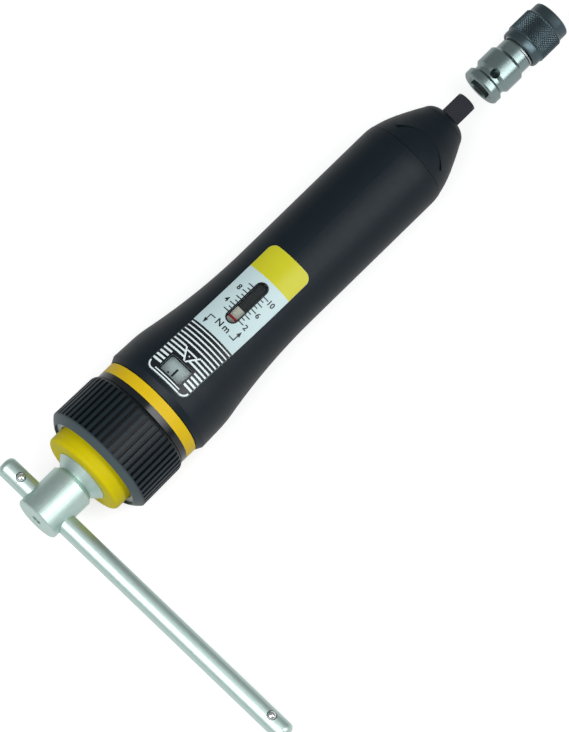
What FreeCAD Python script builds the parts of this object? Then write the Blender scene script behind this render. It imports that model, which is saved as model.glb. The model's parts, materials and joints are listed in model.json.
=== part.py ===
"""Torque screwdriver with a T-handle and a bit adapter, as a parametric FreeCAD document.

Frame: millimetres, origin at the middle of the square drive's end face, +X out of the drive along
the tool's axis, +Z up. The tool lies on its side, rolled about X until the long arm of the T-bar
and the adjusting collar both touch the ground. Stations behind the drive are negative X.
"""
import FreeCAD, Part

import math
import os
from collections import namedtuple

import Sketcher
from FreeCAD import Placement, Rotation, Vector

SIZES = {
    # Fits and gaps
    "running_fit": "0.05",
    "contact_gap": "0.03",
    "turning_gap": "0.3",
    # Drive shaft
    "drive_side": "6.35",
    "drive_reach": "8.2",
    "drive_chamfer": "1.3",
    "drive_turn": "9.5",
    "shank_radius": "4.45",
    "flange_radius": "9.5",
    "flange_thickness": "5.0",
    "pilot_radius": "3.0",
    "pilot_length": "4.5",
    # Nose cap
    "nose_length": "18.3",
    "nose_lip_bore": "4.75",
    "nose_lip": "1.2",
    "nose_face_radius": "5.0",
    "nose_round_length": "2.7",
    "nose_round_radius": "7.75",
    "nose_round_bulge": "0.45",
    "nose_cone_length": "7.1",
    "nose_cone_radius": "11.25",
    "nose_cone_bulge": "0.08",
    "nose_floor_bulge": "0.27",
    "nose_rear_radius": "14.12",
    "petal_step": "0.5",
    "petal_length": "4.9",
    "petal_band": "1.0",
    "petal_half_angle": "43",
    "petal_count": "4",
    "spigot_length": "8.5",
    "bush_wall": "1.5",
    "bush_length": "15.0",
    "washer_thickness": "0.9",
    # Clutch
    "ball_count": "6",
    "ball_radius": "2.0",
    "ball_pitch": "7.0",
    "groove_depth": "1.4",
    "groove_slope": "35",
    "plate_gap": "1.0",
    "plate_thickness": "5.0",
    "spring_spigot_radius": "6.4",
    "spring_spigot_length": "3.0",
    "key_count": "3",
    "key_width": "3.0",
    "key_height": "0.8",
    "housing_bore": "10.5",
    "housing_wall": "1.5",
    "housing_length": "57.0",
    "seam_gap": "0.5",
    # Main spring and setting
    "wire_radius": "1.25",
    "spring_outer": "9.4",
    "spring_turns": "8",
    "scale_lead": "33.1",
    "scale_step": "1.32",
    "rest_reading": "0.1",
    "line_to_seat": "1.4",
    "seat_thickness": "4.0",
    "seat_radius": "11.9",
    "pointer_half_width": "1.7",
    "pointer_thickness": "0.6",
    "pointer_top": "12.85",
    "pointer_foot": "2.0",
    "pointer_foot_depth": "3.3",
    "pointer_length": "13.2",
    "nut_room": "11.0",
    "nut_length": "7.0",
    "nut_radius": "14.2",
    "prong_inner": "9.85",
    "prong_outer": "11.8",
    "prong_half_angle": "14",
    "prong_count": "3",
    # Grip
    "grip_length": "107.1",
    "grip_front_radius": "14.25",
    "grip_radius": "14.55",
    "grip_round": "3.5",
    "grip_round_bulge": "0.08",
    "flare_start": "53.6",
    "flare_waist_bulge": "0.83",
    "flare_shoulder": "16.6",
    "flare_shoulder_radius": "17.62",
    "flare_crown": "9.1",
    "flare_crown_radius": "18.53",
    "flare_crown_bulge": "0.16",
    "grip_end_radius": "18.76",
    "grip_chamfer": "2.1",
    "grip_chamfer_radius": "17.7",
    "grip_rear_bore": "15.9",
    "grip_spigot_wall": "0.65",
    "channel_half_width": "2.0",
    "channel_top": "13.3",
    "channel_spare": "2.0",
    # Label and windows
    "label_lead": "58.3",
    "label_length": "54.6",
    "label_half_width": "7.95",
    "label_corner": "2.4",
    "label_thickness": "0.3",
    "slot_lead": "30.9",
    "slot_length": "15.75",
    "slot_half_width": "1.7",
    "slot_corner": "0.6",
    "window_lead": "5.8",
    "window_length": "5.8",
    "window_half_width": "4.1",
    "window_corner": "0.7",
    "lens_margin": "0.5",
    "scale_lens_thickness": "0.7",
    "dial_lens_thickness": "1.0",
    "dial_ledge": "16.3",
    "dial_window_floor": "15.0",
    # Rings between grip and collar
    "band_gap": "0.3",
    "band_width": "3.7",
    "band_radius": "17.67",
    "neck_width": "2.1",
    # Rear core
    "bulkhead_lead": "17.6",
    "bulkhead_thickness": "4.0",
    "core_radius": "7.2",
    "core_thread_radius": "4.95",
    "core_pin_radius": "1.0",
    "core_pin_lead": "6.0",
    "core_screw_pitch": "13.9",
    "core_screw_radius": "1.2",
    "screw_head_radius": "1.7",
    "screw_head_height": "1.5",
    "core_screw_length": "8.0",
    "screw_count": "3",
    # Adjusting sleeve, dial drum and collar
    "sleeve_radius": "9.6",
    "sleeve_flange_radius": "13.5",
    "sleeve_flange_thickness": "3.1",
    "collar_screw_pitch": "11.6",
    "collar_screw_radius": "0.9",
    "collar_screw_length": "4.6",
    "thrust_thickness": "1.2",
    "drum_inner": "14.7",
    "drum_outer": "15.5",
    "drum_seat": "1.5",
    "collar_length": "18.7",
    "collar_radius": "18.87",
    "collar_front_radius": "17.9",
    "collar_front_round": "1.9",
    "collar_front_bulge": "0.2",
    "collar_rib_front_radius": "18.6",
    "collar_rim": "2.2",
    "collar_rim_radius": "16.4",
    "collar_rim_bulge": "0.12",
    "collar_web": "3.5",
    "collar_recess": "15.4",
    "rib_count": "52",
    "rib_front_margin": "0.7",
    "rib_groove_width": "1.1",
    "rib_root_radius": "18.05",
    # Bezel and lock
    "bezel_outer": "16.1",
    "bezel_inner": "14.4",
    "bezel_thickness": "1.1",
    "bezel_sink": "0.9",
    "lock_radius": "14.1",
    "lock_reach": "4.9",
    "lock_round": "1.4",
    "lock_hub_radius": "13.1",
    "lock_tooth_radius": "15.1",
    "lock_tooth_length": "4.2",
    "lock_tooth_half_angle": "7",
    "lock_tooth_count": "10",
    "lock_push": "2.5",
    "lock_bore": "8.3",
    "lock_mouth": "9.05",
    "lock_mouth_depth": "4.6",
    "lock_pocket_inner": "10.1",
    "lock_pocket_outer": "12.1",
    "lock_pocket_depth": "8.0",
    "lock_key_height": "0.65",
    "lock_key_width": "2.4",
    "collar_tooth_radius": "13.35",
    "collar_tooth_half_angle": "8",
    "collar_tooth_length": "2.8",
    "tooth_gap": "0.5",
    "detent_ring_wire": "0.5",
    "detent_ring_lead": "7.0",
    # Socket for the T-handle
    "cone_base_radius": "8.96",
    "cone_tip_radius": "6.3",
    "cone_length": "2.9",
    "cone_land": "1.8",
    "socket_body_radius": "8.2",
    "socket_spigot": "11.5",
    "socket_depth": "13.5",
    "socket_side": "6.45",
    # T-handle
    "head_length": "16.0",
    "head_radius": "7.39",
    "head_front_chamfer": "1.2",
    "head_rear_chamfer": "0.4",
    "head_centre_radius": "1.65",
    "head_centre_depth": "1.3",
    "cross_hole_lead": "5.4",
    "stub_length": "12.0",
    "stub_turned_radius": "4.3",
    "stub_tip_chamfer": "1.2",
    "o_ring_wire": "0.65",
    "o_ring_radius": "2.52",
    "o_ring_lead": "3.0",
    "bar_radius": "3.3",
    "bar_short": "18.9",
    "bar_long": "97.9",
    "bar_round": "1.6",
    "bar_round_bulge": "0.4",
    "detent_radius": "1.5",
    "detent_stand": "0.75",
    "detent_inset": "7.0",
    "detent_hole_depth": "5.2",
    "detent_wire": "0.2",
    "detent_coil": "1.1",
    "detent_turns": "4",
    "long_detent_twist": "10",
    # Bit adapter
    "adapter_gap": "5.5",
    "adapter_length": "31.7",
    "adapter_flange": "2.5",
    "adapter_chamfer": "0.45",
    "adapter_radius": "6.34",
    "adapter_groove_lead": "3.4",
    "adapter_groove_end": "4.6",
    "adapter_groove_radius": "5.37",
    "adapter_body_lead": "5.7",
    "adapter_body_end": "11.5",
    "adapter_neck_lead": "12.6",
    "adapter_neck_radius": "5.42",
    "adapter_shoulder": "15.8",
    "adapter_stem_radius": "4.9",
    "adapter_hole_radius": "1.45",
    "adapter_hole_lead": "5.2",
    "adapter_socket_side": "6.5",
    "adapter_socket_depth": "8.8",
    "adapter_mouth_chamfer": "0.5",
    "adapter_tip_bulge": "0.1",
    "hex_across": "6.45",
    "hex_depth": "11.2",
    "magnet_radius": "2.4",
    "magnet_length": "3.5",
    "sleeve_lead": "16.9",
    "sleeve_rear_radius": "6.57",
    "sleeve_rear_length": "2.6",
    "sleeve_rear_chamfer": "0.8",
    "knurl_lead": "19.9",
    "knurl_end": "27.4",
    "knurl_radius": "6.94",
    "front_band_lead": "28.2",
    "front_band_radius": "6.36",
    "front_band_end": "31.4",
    "front_band_round": "0.9",
    "quick_bore": "5.75",
    "quick_bore_end": "20.9",
    "ramp_lead": "21.7",
    "ramp_end": "27.3",
    "ramp_start_radius": "5.1",
    "ramp_slope": "0.167",
    "guide_lead": "27.6",
    "snap_lead": "30.4",
    "snap_outer": "5.3",
    "snap_inner": "4.45",
    "snap_thickness": "0.6",
    "bit_ball_radius": "1.25",
    "bit_ball_lead": "23.0",
    "bit_ball_pitch": "4.0",
    "quick_wire": "0.32",
    "quick_coil": "5.3",
    "quick_turns": "3",
}


def as_size(item):
    """Turn a plain number into a Size."""
    return item if isinstance(item, Size) else Size(float(item), repr(float(item)))


class Size:
    """A number that also knows the sheet expression that gives it."""

    def __init__(self, value, text):
        self.value = value
        self.text = text

    def __add__(self, other):
        other = as_size(other)
        return Size(self.value + other.value, f"({self.text} + {other.text})")

    def __sub__(self, other):
        other = as_size(other)
        return Size(self.value - other.value, f"({self.text} - {other.text})")

    def __mul__(self, other):
        other = as_size(other)
        return Size(self.value * other.value, f"({self.text} * {other.text})")

    def __truediv__(self, other):
        other = as_size(other)
        return Size(self.value / other.value, f"({self.text} / {other.text})")

    def __neg__(self):
        return Size(-self.value, f"(0 - {self.text})")


def sine(angle):
    """Sine of a Size in degrees."""
    return Size(math.sin(math.radians(angle.value)), f"sin({angle.text} * 1 deg)")


def cosine(angle):
    """Cosine of a Size in degrees."""
    return Size(math.cos(math.radians(angle.value)), f"cos({angle.text} * 1 deg)")


document = FreeCAD.newDocument("torque_screwdriver")
sheet = document.addObject("Spreadsheet::Sheet", "dims")
for row, (alias, text) in enumerate(SIZES.items(), start=1):
    sheet.set(f"A{row}", alias)
    sheet.set(f"B{row}", text)
    sheet.setAlias(f"B{row}", alias)
document.recompute()


class Dimensions:
    """Every size of the sheet, by its alias."""


d = Dimensions()
for alias in SIZES:
    setattr(d, alias, Size(float(getattr(sheet, alias)), f"dims.{alias}"))

ZERO = Size(0.0, "0")
FULL_TURN = 360.0

# Stations along the axis, from the drive's end face backwards
nose_front = -d.drive_reach
seam = nose_front - d.nose_length
spigot_rear = seam - d.spigot_length
bush_front = nose_front - d.nose_lip
washer_front = spigot_rear - d.running_fit
flange_front = washer_front - d.washer_thickness - d.running_fit
flange_rear = flange_front - d.flange_thickness
groove_root = flange_rear + d.groove_depth
ball_x = groove_root - d.ball_radius / cosine(d.groove_slope) - d.contact_gap
plate_front = flange_rear - d.plate_gap
plate_rear = plate_front - d.plate_thickness
housing_front = seam - d.seam_gap
housing_rear = housing_front - d.housing_length
housing_outer = d.housing_bore + d.housing_wall
grip_bore = housing_outer + d.running_fit
grip_end = seam - d.grip_length
scale_start = grip_end + d.scale_lead
pointer_line = scale_start + d.scale_step * d.rest_reading
seat_front = pointer_line + d.line_to_seat
seat_rear = seat_front - d.seat_thickness
bulkhead_front = grip_end + d.bulkhead_lead
bulkhead_rear = bulkhead_front - d.bulkhead_thickness
nut_front = bulkhead_rear - d.nut_room
nut_rear = nut_front - d.nut_length
band_front = grip_end - d.band_gap
band_rear = band_front - d.band_width
neck_rear = band_rear - d.neck_width
collar_front = neck_rear - d.turning_gap
collar_rear = collar_front - d.collar_length
web_front = collar_front - d.drum_seat
web_rear = web_front - d.collar_web
sleeve_rear = web_rear - d.sleeve_flange_thickness
thrust_front = sleeve_rear - d.running_fit
socket_front = thrust_front - d.thrust_thickness - d.running_fit
bezel_rear = collar_rear + d.bezel_sink
bezel_front = bezel_rear + d.bezel_thickness
tooth_rear = bezel_front + d.turning_gap
tooth_front = tooth_rear + d.lock_tooth_length
collar_tooth_rear = tooth_front + d.tooth_gap
collar_tooth_front = collar_tooth_rear + d.collar_tooth_length
lock_rear = collar_rear - d.lock_reach
cone_base = lock_rear - d.running_fit * 4
cone_tip = cone_base - d.cone_length
detent_ring_x = socket_front - d.detent_ring_lead
head_front = cone_tip - d.running_fit
head_rear = head_front - d.head_length
bar_x = head_rear + d.cross_hole_lead
label_front = grip_end + d.label_lead
label_rear = label_front - d.label_length
slot_rear = grip_end + d.slot_lead
slot_front = slot_rear + d.slot_length
window_rear = grip_end + d.window_lead
window_front = window_rear + d.window_length
adapter_rear = d.adapter_gap

# The roll at which the long arm of the bar and the collar both touch the ground
resting_arm = math.hypot(d.bar_long.value - d.bar_round.value, d.bar_radius.value)
resting_dip = math.atan2(d.bar_radius.value, d.bar_long.value - d.bar_round.value)
TOOL_ROLL = math.degrees(math.asin(d.collar_radius.value / resting_arm) - resting_dip)
DRIVE_ROLL = TOOL_ROLL + d.drive_turn.value

Circle = namedtuple("Circle", "x y radius")
sub_parts = []


def body_of(name):
    """Start a body for one sub-part."""
    body = document.addObject("PartDesign::Body", name)
    body.Label = name
    return body


def origin_of(body, role):
    """The body's own plane or axis that plays a role."""
    for feature in body.Origin.OriginFeatures:
        if feature.Role == role:
            return feature
    raise ValueError(role)


def bind(item, path, size):
    """Tie a property of a document object to its sheet expression."""
    item.setExpression(path, size.text)


def draw_outline(sketch, corners):
    """Draw a closed outline. A corner is (x, y), or (x, y, bulge) where an arc leads on from it.

    A positive bulge lies to the right of the way of travel. Every corner and every arc's radius
    is a constraint tied to the sheet.
    """
    first_edge = sketch.GeometryCount
    ends = []
    count = len(corners)
    for index, start in enumerate(corners):
        end = corners[(index + 1) % count]
        first = Vector(start[0].value, start[1].value, 0)
        last = Vector(end[0].value, end[1].value, 0)
        if len(start) == 2:
            sketch.addGeometry(Part.LineSegment(first, last), False)
            ends.append((1, 2))
            continue
        bulge = start[2].value
        along = (last - first).normalize()
        middle = (first + last) * 0.5 + Vector(along.y, -along.x, 0) * bulge
        sketch.addGeometry(Part.Arc(first, middle, last), False)
        ends.append((1, 2) if bulge > 0 else (2, 1))
    for index, start in enumerate(corners):
        edge = first_edge + index
        before = first_edge + (index - 1) % count
        begins = ends[index][0]
        sketch.addConstraint(
            Sketcher.Constraint("Coincident", before, ends[(index - 1) % count][1], edge, begins))
        for kind, size in (("DistanceX", start[0]), ("DistanceY", start[1])):
            number = sketch.addConstraint(
                Sketcher.Constraint(kind, -1, 1, edge, begins, size.value))
            bind(sketch, f"Constraints[{number}]", size)
        if len(start) == 3:
            end = corners[(index + 1) % count]
            run, rise = end[0] - start[0], end[1] - start[1]
            bulge = start[2] if start[2].value > 0 else -start[2]
            radius = (run * run + rise * rise) / (bulge * 8) + bulge / 2
            number = sketch.addConstraint(Sketcher.Constraint("Radius", edge, radius.value))
            bind(sketch, f"Constraints[{number}]", radius)


def draw_circle(sketch, circle):
    """Draw a circle with its centre and radius tied to the sheet."""
    edge = sketch.GeometryCount
    centre = Vector(circle.x.value, circle.y.value, 0)
    sketch.addGeometry(Part.Circle(centre, Vector(0, 0, 1), circle.radius.value), False)
    for kind, size in (("DistanceX", circle.x), ("DistanceY", circle.y)):
        number = sketch.addConstraint(Sketcher.Constraint(kind, -1, 1, edge, 3, size.value))
        bind(sketch, f"Constraints[{number}]", size)
    number = sketch.addConstraint(Sketcher.Constraint("Radius", edge, circle.radius.value))
    bind(sketch, f"Constraints[{number}]", circle.radius)


def sketch_on(body, name, plane, outlines, offset=None):
    """A sketch of closed outlines and circles on one of the body's planes."""
    sketch = body.newObject("Sketcher::SketchObject", f"{body.Label}_{name}_sketch")
    sketch.AttachmentSupport = (origin_of(body, plane), [""])
    sketch.MapMode = "FlatFace"
    if offset is not None:
        sketch.AttachmentOffset = Placement(Vector(0, 0, offset.value), Rotation())
        bind(sketch, "AttachmentOffset.Base.z", offset)
    for outline in outlines:
        if isinstance(outline, Circle):
            draw_circle(sketch, outline)
        else:
            draw_outline(sketch, outline)
    return sketch


def turned(body, name, corners, axis="H_Axis", plane="XZ_Plane", sweep=FULL_TURN):
    """Revolve an outline about the tool's axis, or add a part turn centred on the outline."""
    sketch = sketch_on(body, name, plane, [corners])
    feature = body.newObject("PartDesign::Revolution", f"{body.Label}_{name}")
    feature.Profile = sketch
    feature.ReferenceAxis = (sketch, [axis])
    feature.Angle = sweep
    feature.Midplane = sweep < FULL_TURN
    return feature


def groove(body, name, corners):
    """Turn a groove into the body, about the tool's axis."""
    sketch = sketch_on(body, name, "XZ_Plane", [corners])
    feature = body.newObject("PartDesign::Groove", f"{body.Label}_{name}")
    feature.Profile = sketch
    feature.ReferenceAxis = (sketch, ["H_Axis"])
    feature.Angle = FULL_TURN
    return feature


def extrude(kind, body, name, plane, outlines, low, high):
    """Pad or pocket outlines between two stations along the plane's normal."""
    sketch = sketch_on(body, name, plane, outlines, low)
    feature = body.newObject(f"PartDesign::{kind}", f"{body.Label}_{name}")
    feature.Profile = sketch
    length = high - low
    feature.Length = length.value
    bind(feature, "Length", length)
    feature.Reversed = kind == "Pocket"
    return feature


def pad(body, name, plane, outlines, low, high):
    """Add material between two stations."""
    return extrude("Pad", body, name, plane, outlines, low, high)


def pocket(body, name, plane, outlines, low, high):
    """Remove material between two stations."""
    return extrude("Pocket", body, name, plane, outlines, low, high)


def ring_of(body, name, feature, count):
    """Repeat a feature around the tool's axis."""
    pattern = body.newObject("PartDesign::PolarPattern", f"{body.Label}_{name}")
    pattern.Originals = [feature]
    pattern.Axis = (origin_of(body, "X_Axis"), [""])
    pattern.Angle = FULL_TURN
    pattern.Occurrences = round(count.value)
    bind(pattern, "Occurrences", count)
    body.Tip = pattern
    return pattern


def coil(body, name, start, end, mean_radius, wire, turns, plane="XZ_Plane", axis="H_Axis"):
    """A coil spring between two stations, its round wire drawn as a hexagon to keep it light."""
    across = (start, mean_radius) if axis == "H_Axis" else (mean_radius, start)
    half, side = wire / 2, wire * math.sqrt(0.75)
    section = [(across[0] + x, across[1] + y) for x, y in (
        (wire, ZERO), (half, side), (-half, side), (-wire, ZERO), (-half, -side), (half, -side))]
    sketch = sketch_on(body, name, plane, [section])
    feature = body.newObject("PartDesign::AdditiveHelix", f"{body.Label}_{name}")
    feature.Profile = sketch
    feature.ReferenceAxis = (sketch, [axis])
    feature.Mode = 2
    feature.Height = abs(end.value - start.value)
    feature.Turns = turns.value
    bind(feature, "Height", end - start if end.value > start.value else start - end)
    bind(feature, "Turns", turns)
    feature.Reversed = end.value < start.value
    return feature


def rectangle(x_low, x_high, y_low, y_high):
    """Corners of a rectangle, counter-clockwise."""
    return [(x_low, y_low), (x_high, y_low), (x_high, y_high), (x_low, y_high)]


def rounded_rectangle(x_low, x_high, half_width, corner):
    """Corners of a rectangle with round corners, lying along x and centred on y = 0."""
    bulge = corner * (1 - math.sqrt(0.5))
    return [(x_low + corner, -half_width), (x_high - corner, -half_width, bulge),
            (x_high, corner - half_width), (x_high, half_width - corner, bulge),
            (x_high - corner, half_width), (x_low + corner, half_width, bulge),
            (x_low, half_width - corner), (x_low, corner - half_width, bulge)]


def sector(inner, outer, half_angle, middle=ZERO):
    """Corners of a piece of a ring in a cross-section, its middle at an angle from upright."""
    low, high = middle - half_angle, middle + half_angle
    rise = as_size(1) - cosine(half_angle)
    return [(outer * sine(high), outer * cosine(high), outer * rise),
            (outer * sine(low), outer * cosine(low)),
            (inner * sine(low), inner * cosine(low), -(inner * rise)),
            (inner * sine(high), inner * cosine(high))]


def tube(inner, outer, rear, front):
    """Outline of a plain ring or tube."""
    return rectangle(rear, front, inner, outer)


def finish(item, name, roll, x=0.0):
    """Give a sub-part its name and its place, and keep it for the check and the export."""
    item.Label = name
    item.Placement = Placement(Vector(x, 0, 0), Rotation(Vector(1, 0, 0), roll))
    sub_parts.append(item)


def turned_part(name, corners, roll):
    """A sub-part that is one turned piece."""
    body = body_of(name)
    turned(body, "turning", corners)
    finish(body, name, roll)


def group(name, members):
    """Several like solids in one node."""
    compound = document.addObject("Part::Compound", name)
    compound.Links = members
    compound.Label = name
    sub_parts.append(compound)


def ball(name, radius, place=Placement()):
    """A plain ball."""
    sphere = document.addObject("Part::Sphere", name)
    sphere.Radius = radius.value
    sphere.Label = name
    sphere.Placement = place
    bind(sphere, "Radius", radius)
    return sphere


def ball_round_axis(name, x, out, angle, radius):
    """A ball at a distance from the tool's axis, at an angle from upright towards -Y."""
    sphere = ball(name, radius)
    bind(sphere, "Placement.Base.x", x)
    bind(sphere, "Placement.Base.y", -out * sine(angle))
    bind(sphere, "Placement.Base.z", out * cosine(angle))
    return sphere


def wire_ring(name, x, radius, wire):
    """A ring of round wire or cord about the tool's axis."""
    torus = document.addObject("Part::Torus", name)
    torus.Radius1 = radius.value
    torus.Radius2 = wire.value
    bind(torus, "Radius1", radius)
    bind(torus, "Radius2", wire)
    torus.Placement = Placement(Vector(x.value, 0, 0), Rotation(Vector(0, 1, 0), 90))
    bind(torus, "Placement.Base.x", x)
    torus.Label = name
    sub_parts.append(torus)


# ---------------------------------------------------------------- drive and clutch

def drive_shaft():
    """Turned shaft with the square drive in front and ball grooves on its rear flange."""
    body = body_of("drive_shaft")
    pilot_end = flange_rear - d.pilot_length
    turned(body, "turning", [
        (ZERO, ZERO), (ZERO, d.shank_radius - d.drive_chamfer), (-d.drive_chamfer, d.shank_radius),
        (flange_front, d.shank_radius), (flange_front, d.flange_radius),
        (flange_rear, d.flange_radius), (flange_rear, d.pilot_radius),
        (pilot_end, d.pilot_radius), (pilot_end, ZERO)])
    wide = d.shank_radius * 1.1
    flat = pocket(body, "flat", "YZ_Plane",
                  [rectangle(-wide, wide, d.drive_side / 2, wide)], nose_front, ZERO)
    ring_of(body, "flats", flat, as_size(4))
    over = d.contact_gap * 5
    spread = (d.groove_depth + over) * cosine(d.groove_slope) / sine(d.groove_slope)
    vee = [(groove_root, ZERO), (flange_rear - over, spread), (flange_rear - over, -spread)]
    cut = pocket(body, "vee", "XY_Plane", [vee], d.pilot_radius + d.turning_gap,
                 d.flange_radius * 1.1)
    ring_of(body, "vees", cut, d.ball_count)
    finish(body, "drive_shaft", DRIVE_ROLL)


def clutch():
    """Thrust washer, sliding pressure plate with its balls, housing tube and main spring."""
    turned_part("thrust_washer", tube(d.shank_radius + d.running_fit, d.flange_radius,
                                      washer_front - d.washer_thickness, washer_front), DRIVE_ROLL)

    plate = body_of("pressure_plate")
    plate_radius = d.housing_bore - d.running_fit
    spigot_end = plate_rear - d.spring_spigot_length
    turned(plate, "turning", [
        (plate_front, d.pilot_radius + d.running_fit), (plate_front, plate_radius),
        (plate_rear, plate_radius), (plate_rear, d.spring_spigot_radius),
        (spigot_end, d.spring_spigot_radius), (spigot_end, d.pilot_radius + d.running_fit)])
    half_key = d.key_width / 2 - d.running_fit
    key_top = d.housing_bore + d.key_height - d.running_fit
    key = pad(plate, "key", "YZ_Plane",
              [rectangle(-half_key, half_key, plate_radius - d.key_height, key_top)],
              plate_rear, plate_front)
    ring_of(plate, "keys", key, d.key_count)
    cup = pocket(plate, "cup", "YZ_Plane",
                 [Circle(ZERO, d.ball_pitch, d.ball_radius + d.running_fit)],
                 ball_x - d.ball_radius - d.contact_gap, plate_front)
    ring_of(plate, "cups", cup, d.ball_count)
    finish(plate, "pressure_plate", DRIVE_ROLL)

    balls = []
    for index in range(round(d.ball_count.value)):
        angle = as_size(DRIVE_ROLL) + as_size(360 * index) / d.ball_count
        balls.append(ball_round_axis(f"clutch_ball_{index + 1}", ball_x, d.ball_pitch, angle,
                                     d.ball_radius))
    group("clutch_balls", balls)

    housing = body_of("clutch_housing")
    turned(housing, "turning", tube(d.housing_bore, housing_outer, housing_rear, housing_front))
    keyway = pocket(housing, "keyway", "YZ_Plane",
                    [rectangle(-d.key_width / 2, d.key_width / 2, d.housing_bore - d.key_height,
                               d.housing_bore + d.key_height)],
                    housing_rear, spigot_rear)
    ring_of(housing, "keyways", keyway, d.key_count)
    finish(housing, "clutch_housing", DRIVE_ROLL)

    spring = body_of("main_spring")
    coil(spring, "coils", seat_front + d.wire_radius + d.running_fit,
         plate_rear - d.wire_radius - d.running_fit, d.spring_outer - d.wire_radius,
         d.wire_radius, d.spring_turns)
    finish(spring, "main_spring", TOOL_ROLL)


def nose():
    """Nose cap with four scalloped wrench recesses, and the bush that carries the shaft."""
    body = body_of("nose_cap")
    round_rear = nose_front - d.nose_round_length
    cone_rear = round_rear - d.nose_cone_length
    cone_slope = (d.nose_cone_radius - d.nose_round_radius) / d.nose_cone_length
    petal_rear = cone_rear - d.petal_length
    petal_radius = d.nose_cone_radius + cone_slope * d.petal_length
    petal_root = d.nose_cone_radius - d.petal_step * 3
    turned(body, "petals", [
        (cone_rear, petal_root), (cone_rear, d.nose_cone_radius),
        (petal_rear, petal_radius), (petal_rear, petal_root)])
    scallop_front = cone_rear - d.petal_band
    scallop_half = petal_radius * sine(d.petal_half_angle)
    scallop_depth = scallop_front - petal_rear
    beyond = petal_rear - d.petal_step
    scallop = pocket(body, "scallop", "XY_Plane", [[
        (petal_rear, -scallop_half, scallop_depth), (petal_rear, scallop_half),
        (beyond, scallop_half), (beyond, -scallop_half)]],
        d.nose_round_radius, d.nose_rear_radius * 1.1)
    ring_of(body, "scallops", scallop, d.petal_count)
    bush_bore = d.shank_radius + d.running_fit + d.bush_wall
    spigot_radius = d.housing_bore - d.running_fit
    turned(body, "cap", [
        (nose_front, d.nose_lip_bore), (nose_front, d.nose_face_radius, d.nose_round_bulge),
        (round_rear, d.nose_round_radius, d.nose_cone_bulge),
        (cone_rear, d.nose_cone_radius, d.nose_floor_bulge),
        (seam, d.nose_rear_radius), (seam, spigot_radius), (spigot_rear, spigot_radius),
        (spigot_rear, bush_bore), (bush_front, bush_bore), (bush_front, d.nose_lip_bore)])
    finish(body, "nose_cap", DRIVE_ROLL)

    turned_part("front_bush", tube(d.shank_radius + d.running_fit, bush_bore - d.running_fit,
                                   bush_front - d.bush_length, bush_front - d.running_fit),
                DRIVE_ROLL)


# ---------------------------------------------------------------- grip, label and windows

def flare(drop):
    """Corners along the flared part of the grip, front to rear, sunk by a depth."""
    shoulder = grip_end + d.flare_shoulder
    crown = grip_end + d.flare_crown
    return [(grip_end + d.flare_start, d.grip_radius - drop, -d.flare_waist_bulge),
            (shoulder, d.flare_shoulder_radius - drop, d.flare_crown_bulge),
            (crown, d.flare_crown_radius - drop)]


def other_way(corners):
    """The same open line, drawn from its other end."""
    back = []
    for corner, before in zip(corners[::-1], corners[-2::-1] + [(ZERO, ZERO)]):
        bulge = (-before[2],) if len(before) == 3 else ()
        back.append(corner[:2] + bulge)
    return back


def skin(body, top_drop, bottom_drop, keep, margin):
    """A curved plate that follows the grip's surface, trimmed to an outline seen from above."""
    front = label_front + margin

    def surface(drop):
        return [(front, d.grip_radius - drop)] + flare(drop) + [
            (grip_end + d.grip_chamfer, d.grip_end_radius - drop)]

    turned(body, "strip", surface(top_drop) + other_way(surface(bottom_drop)), sweep=100.0)
    outside = rectangle(grip_end, front + margin, -d.grip_end_radius, d.grip_end_radius)
    pocket(body, "trim", "XY_Plane", [outside, keep], ZERO, d.grip_end_radius * 1.1)


def grip():
    """Moulded grip shell with its bores, pointer channel, windows and label recess."""
    body = body_of("grip_moulding")
    round_rear = seam - d.grip_round
    chamfer_front = grip_end + d.grip_chamfer
    spigot_outer = d.grip_rear_bore + d.grip_spigot_wall
    turned(body, "turning", [
        (seam - d.contact_gap * 5, grip_bore),
        (seam - d.contact_gap * 5, d.grip_front_radius, d.grip_round_bulge),
        (round_rear, d.grip_radius)] + flare(ZERO) + [
        (chamfer_front, d.grip_end_radius), (grip_end, d.grip_chamfer_radius),
        (grip_end, spigot_outer), (neck_rear, spigot_outer), (neck_rear, d.grip_rear_bore),
        (bulkhead_front, d.grip_rear_bore), (bulkhead_front, grip_bore)])
    nut_travel = d.nut_room - d.turning_gap
    pocket(body, "channel", "XY_Plane", [rectangle(
        seat_rear - d.channel_spare, pointer_line + d.pointer_length + nut_travel,
        -d.channel_half_width, d.channel_half_width)], ZERO, d.channel_top)
    above = d.grip_end_radius * 1.1
    fit = d.running_fit
    pocket(body, "scale_opening", "XY_Plane", [rounded_rectangle(
        slot_rear - d.lens_margin - fit, slot_front + d.lens_margin + fit,
        d.slot_half_width + d.lens_margin + fit, d.slot_corner)], d.channel_top - fit, above)
    pocket(body, "dial_opening", "XY_Plane", [rounded_rectangle(
        window_rear, window_front, d.window_half_width, d.window_corner)],
        d.dial_window_floor, above)
    pocket(body, "dial_seat", "XY_Plane", [rounded_rectangle(
        window_rear - d.lens_margin - fit, window_front + d.lens_margin + fit,
        d.window_half_width + d.lens_margin + fit, d.window_corner)], d.dial_ledge, above)
    hole = pocket(body, "screw_hole", "YZ_Plane",
                  [Circle(ZERO, d.core_screw_pitch, d.core_screw_radius + fit)],
                  bulkhead_front - fit, bulkhead_front + d.core_screw_length)
    ring_of(body, "screw_holes", hole, d.screw_count)

    recess = body_of("label_recess")
    skin(recess, -d.label_thickness, d.label_thickness + fit, rounded_rectangle(
        label_rear - fit, label_front + fit, d.label_half_width + fit, d.label_corner),
        d.label_thickness * 3)
    shell = document.addObject("Part::Cut", "grip_shell")
    shell.Base = body
    shell.Tool = recess
    finish(shell, "grip_shell", TOOL_ROLL)


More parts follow.
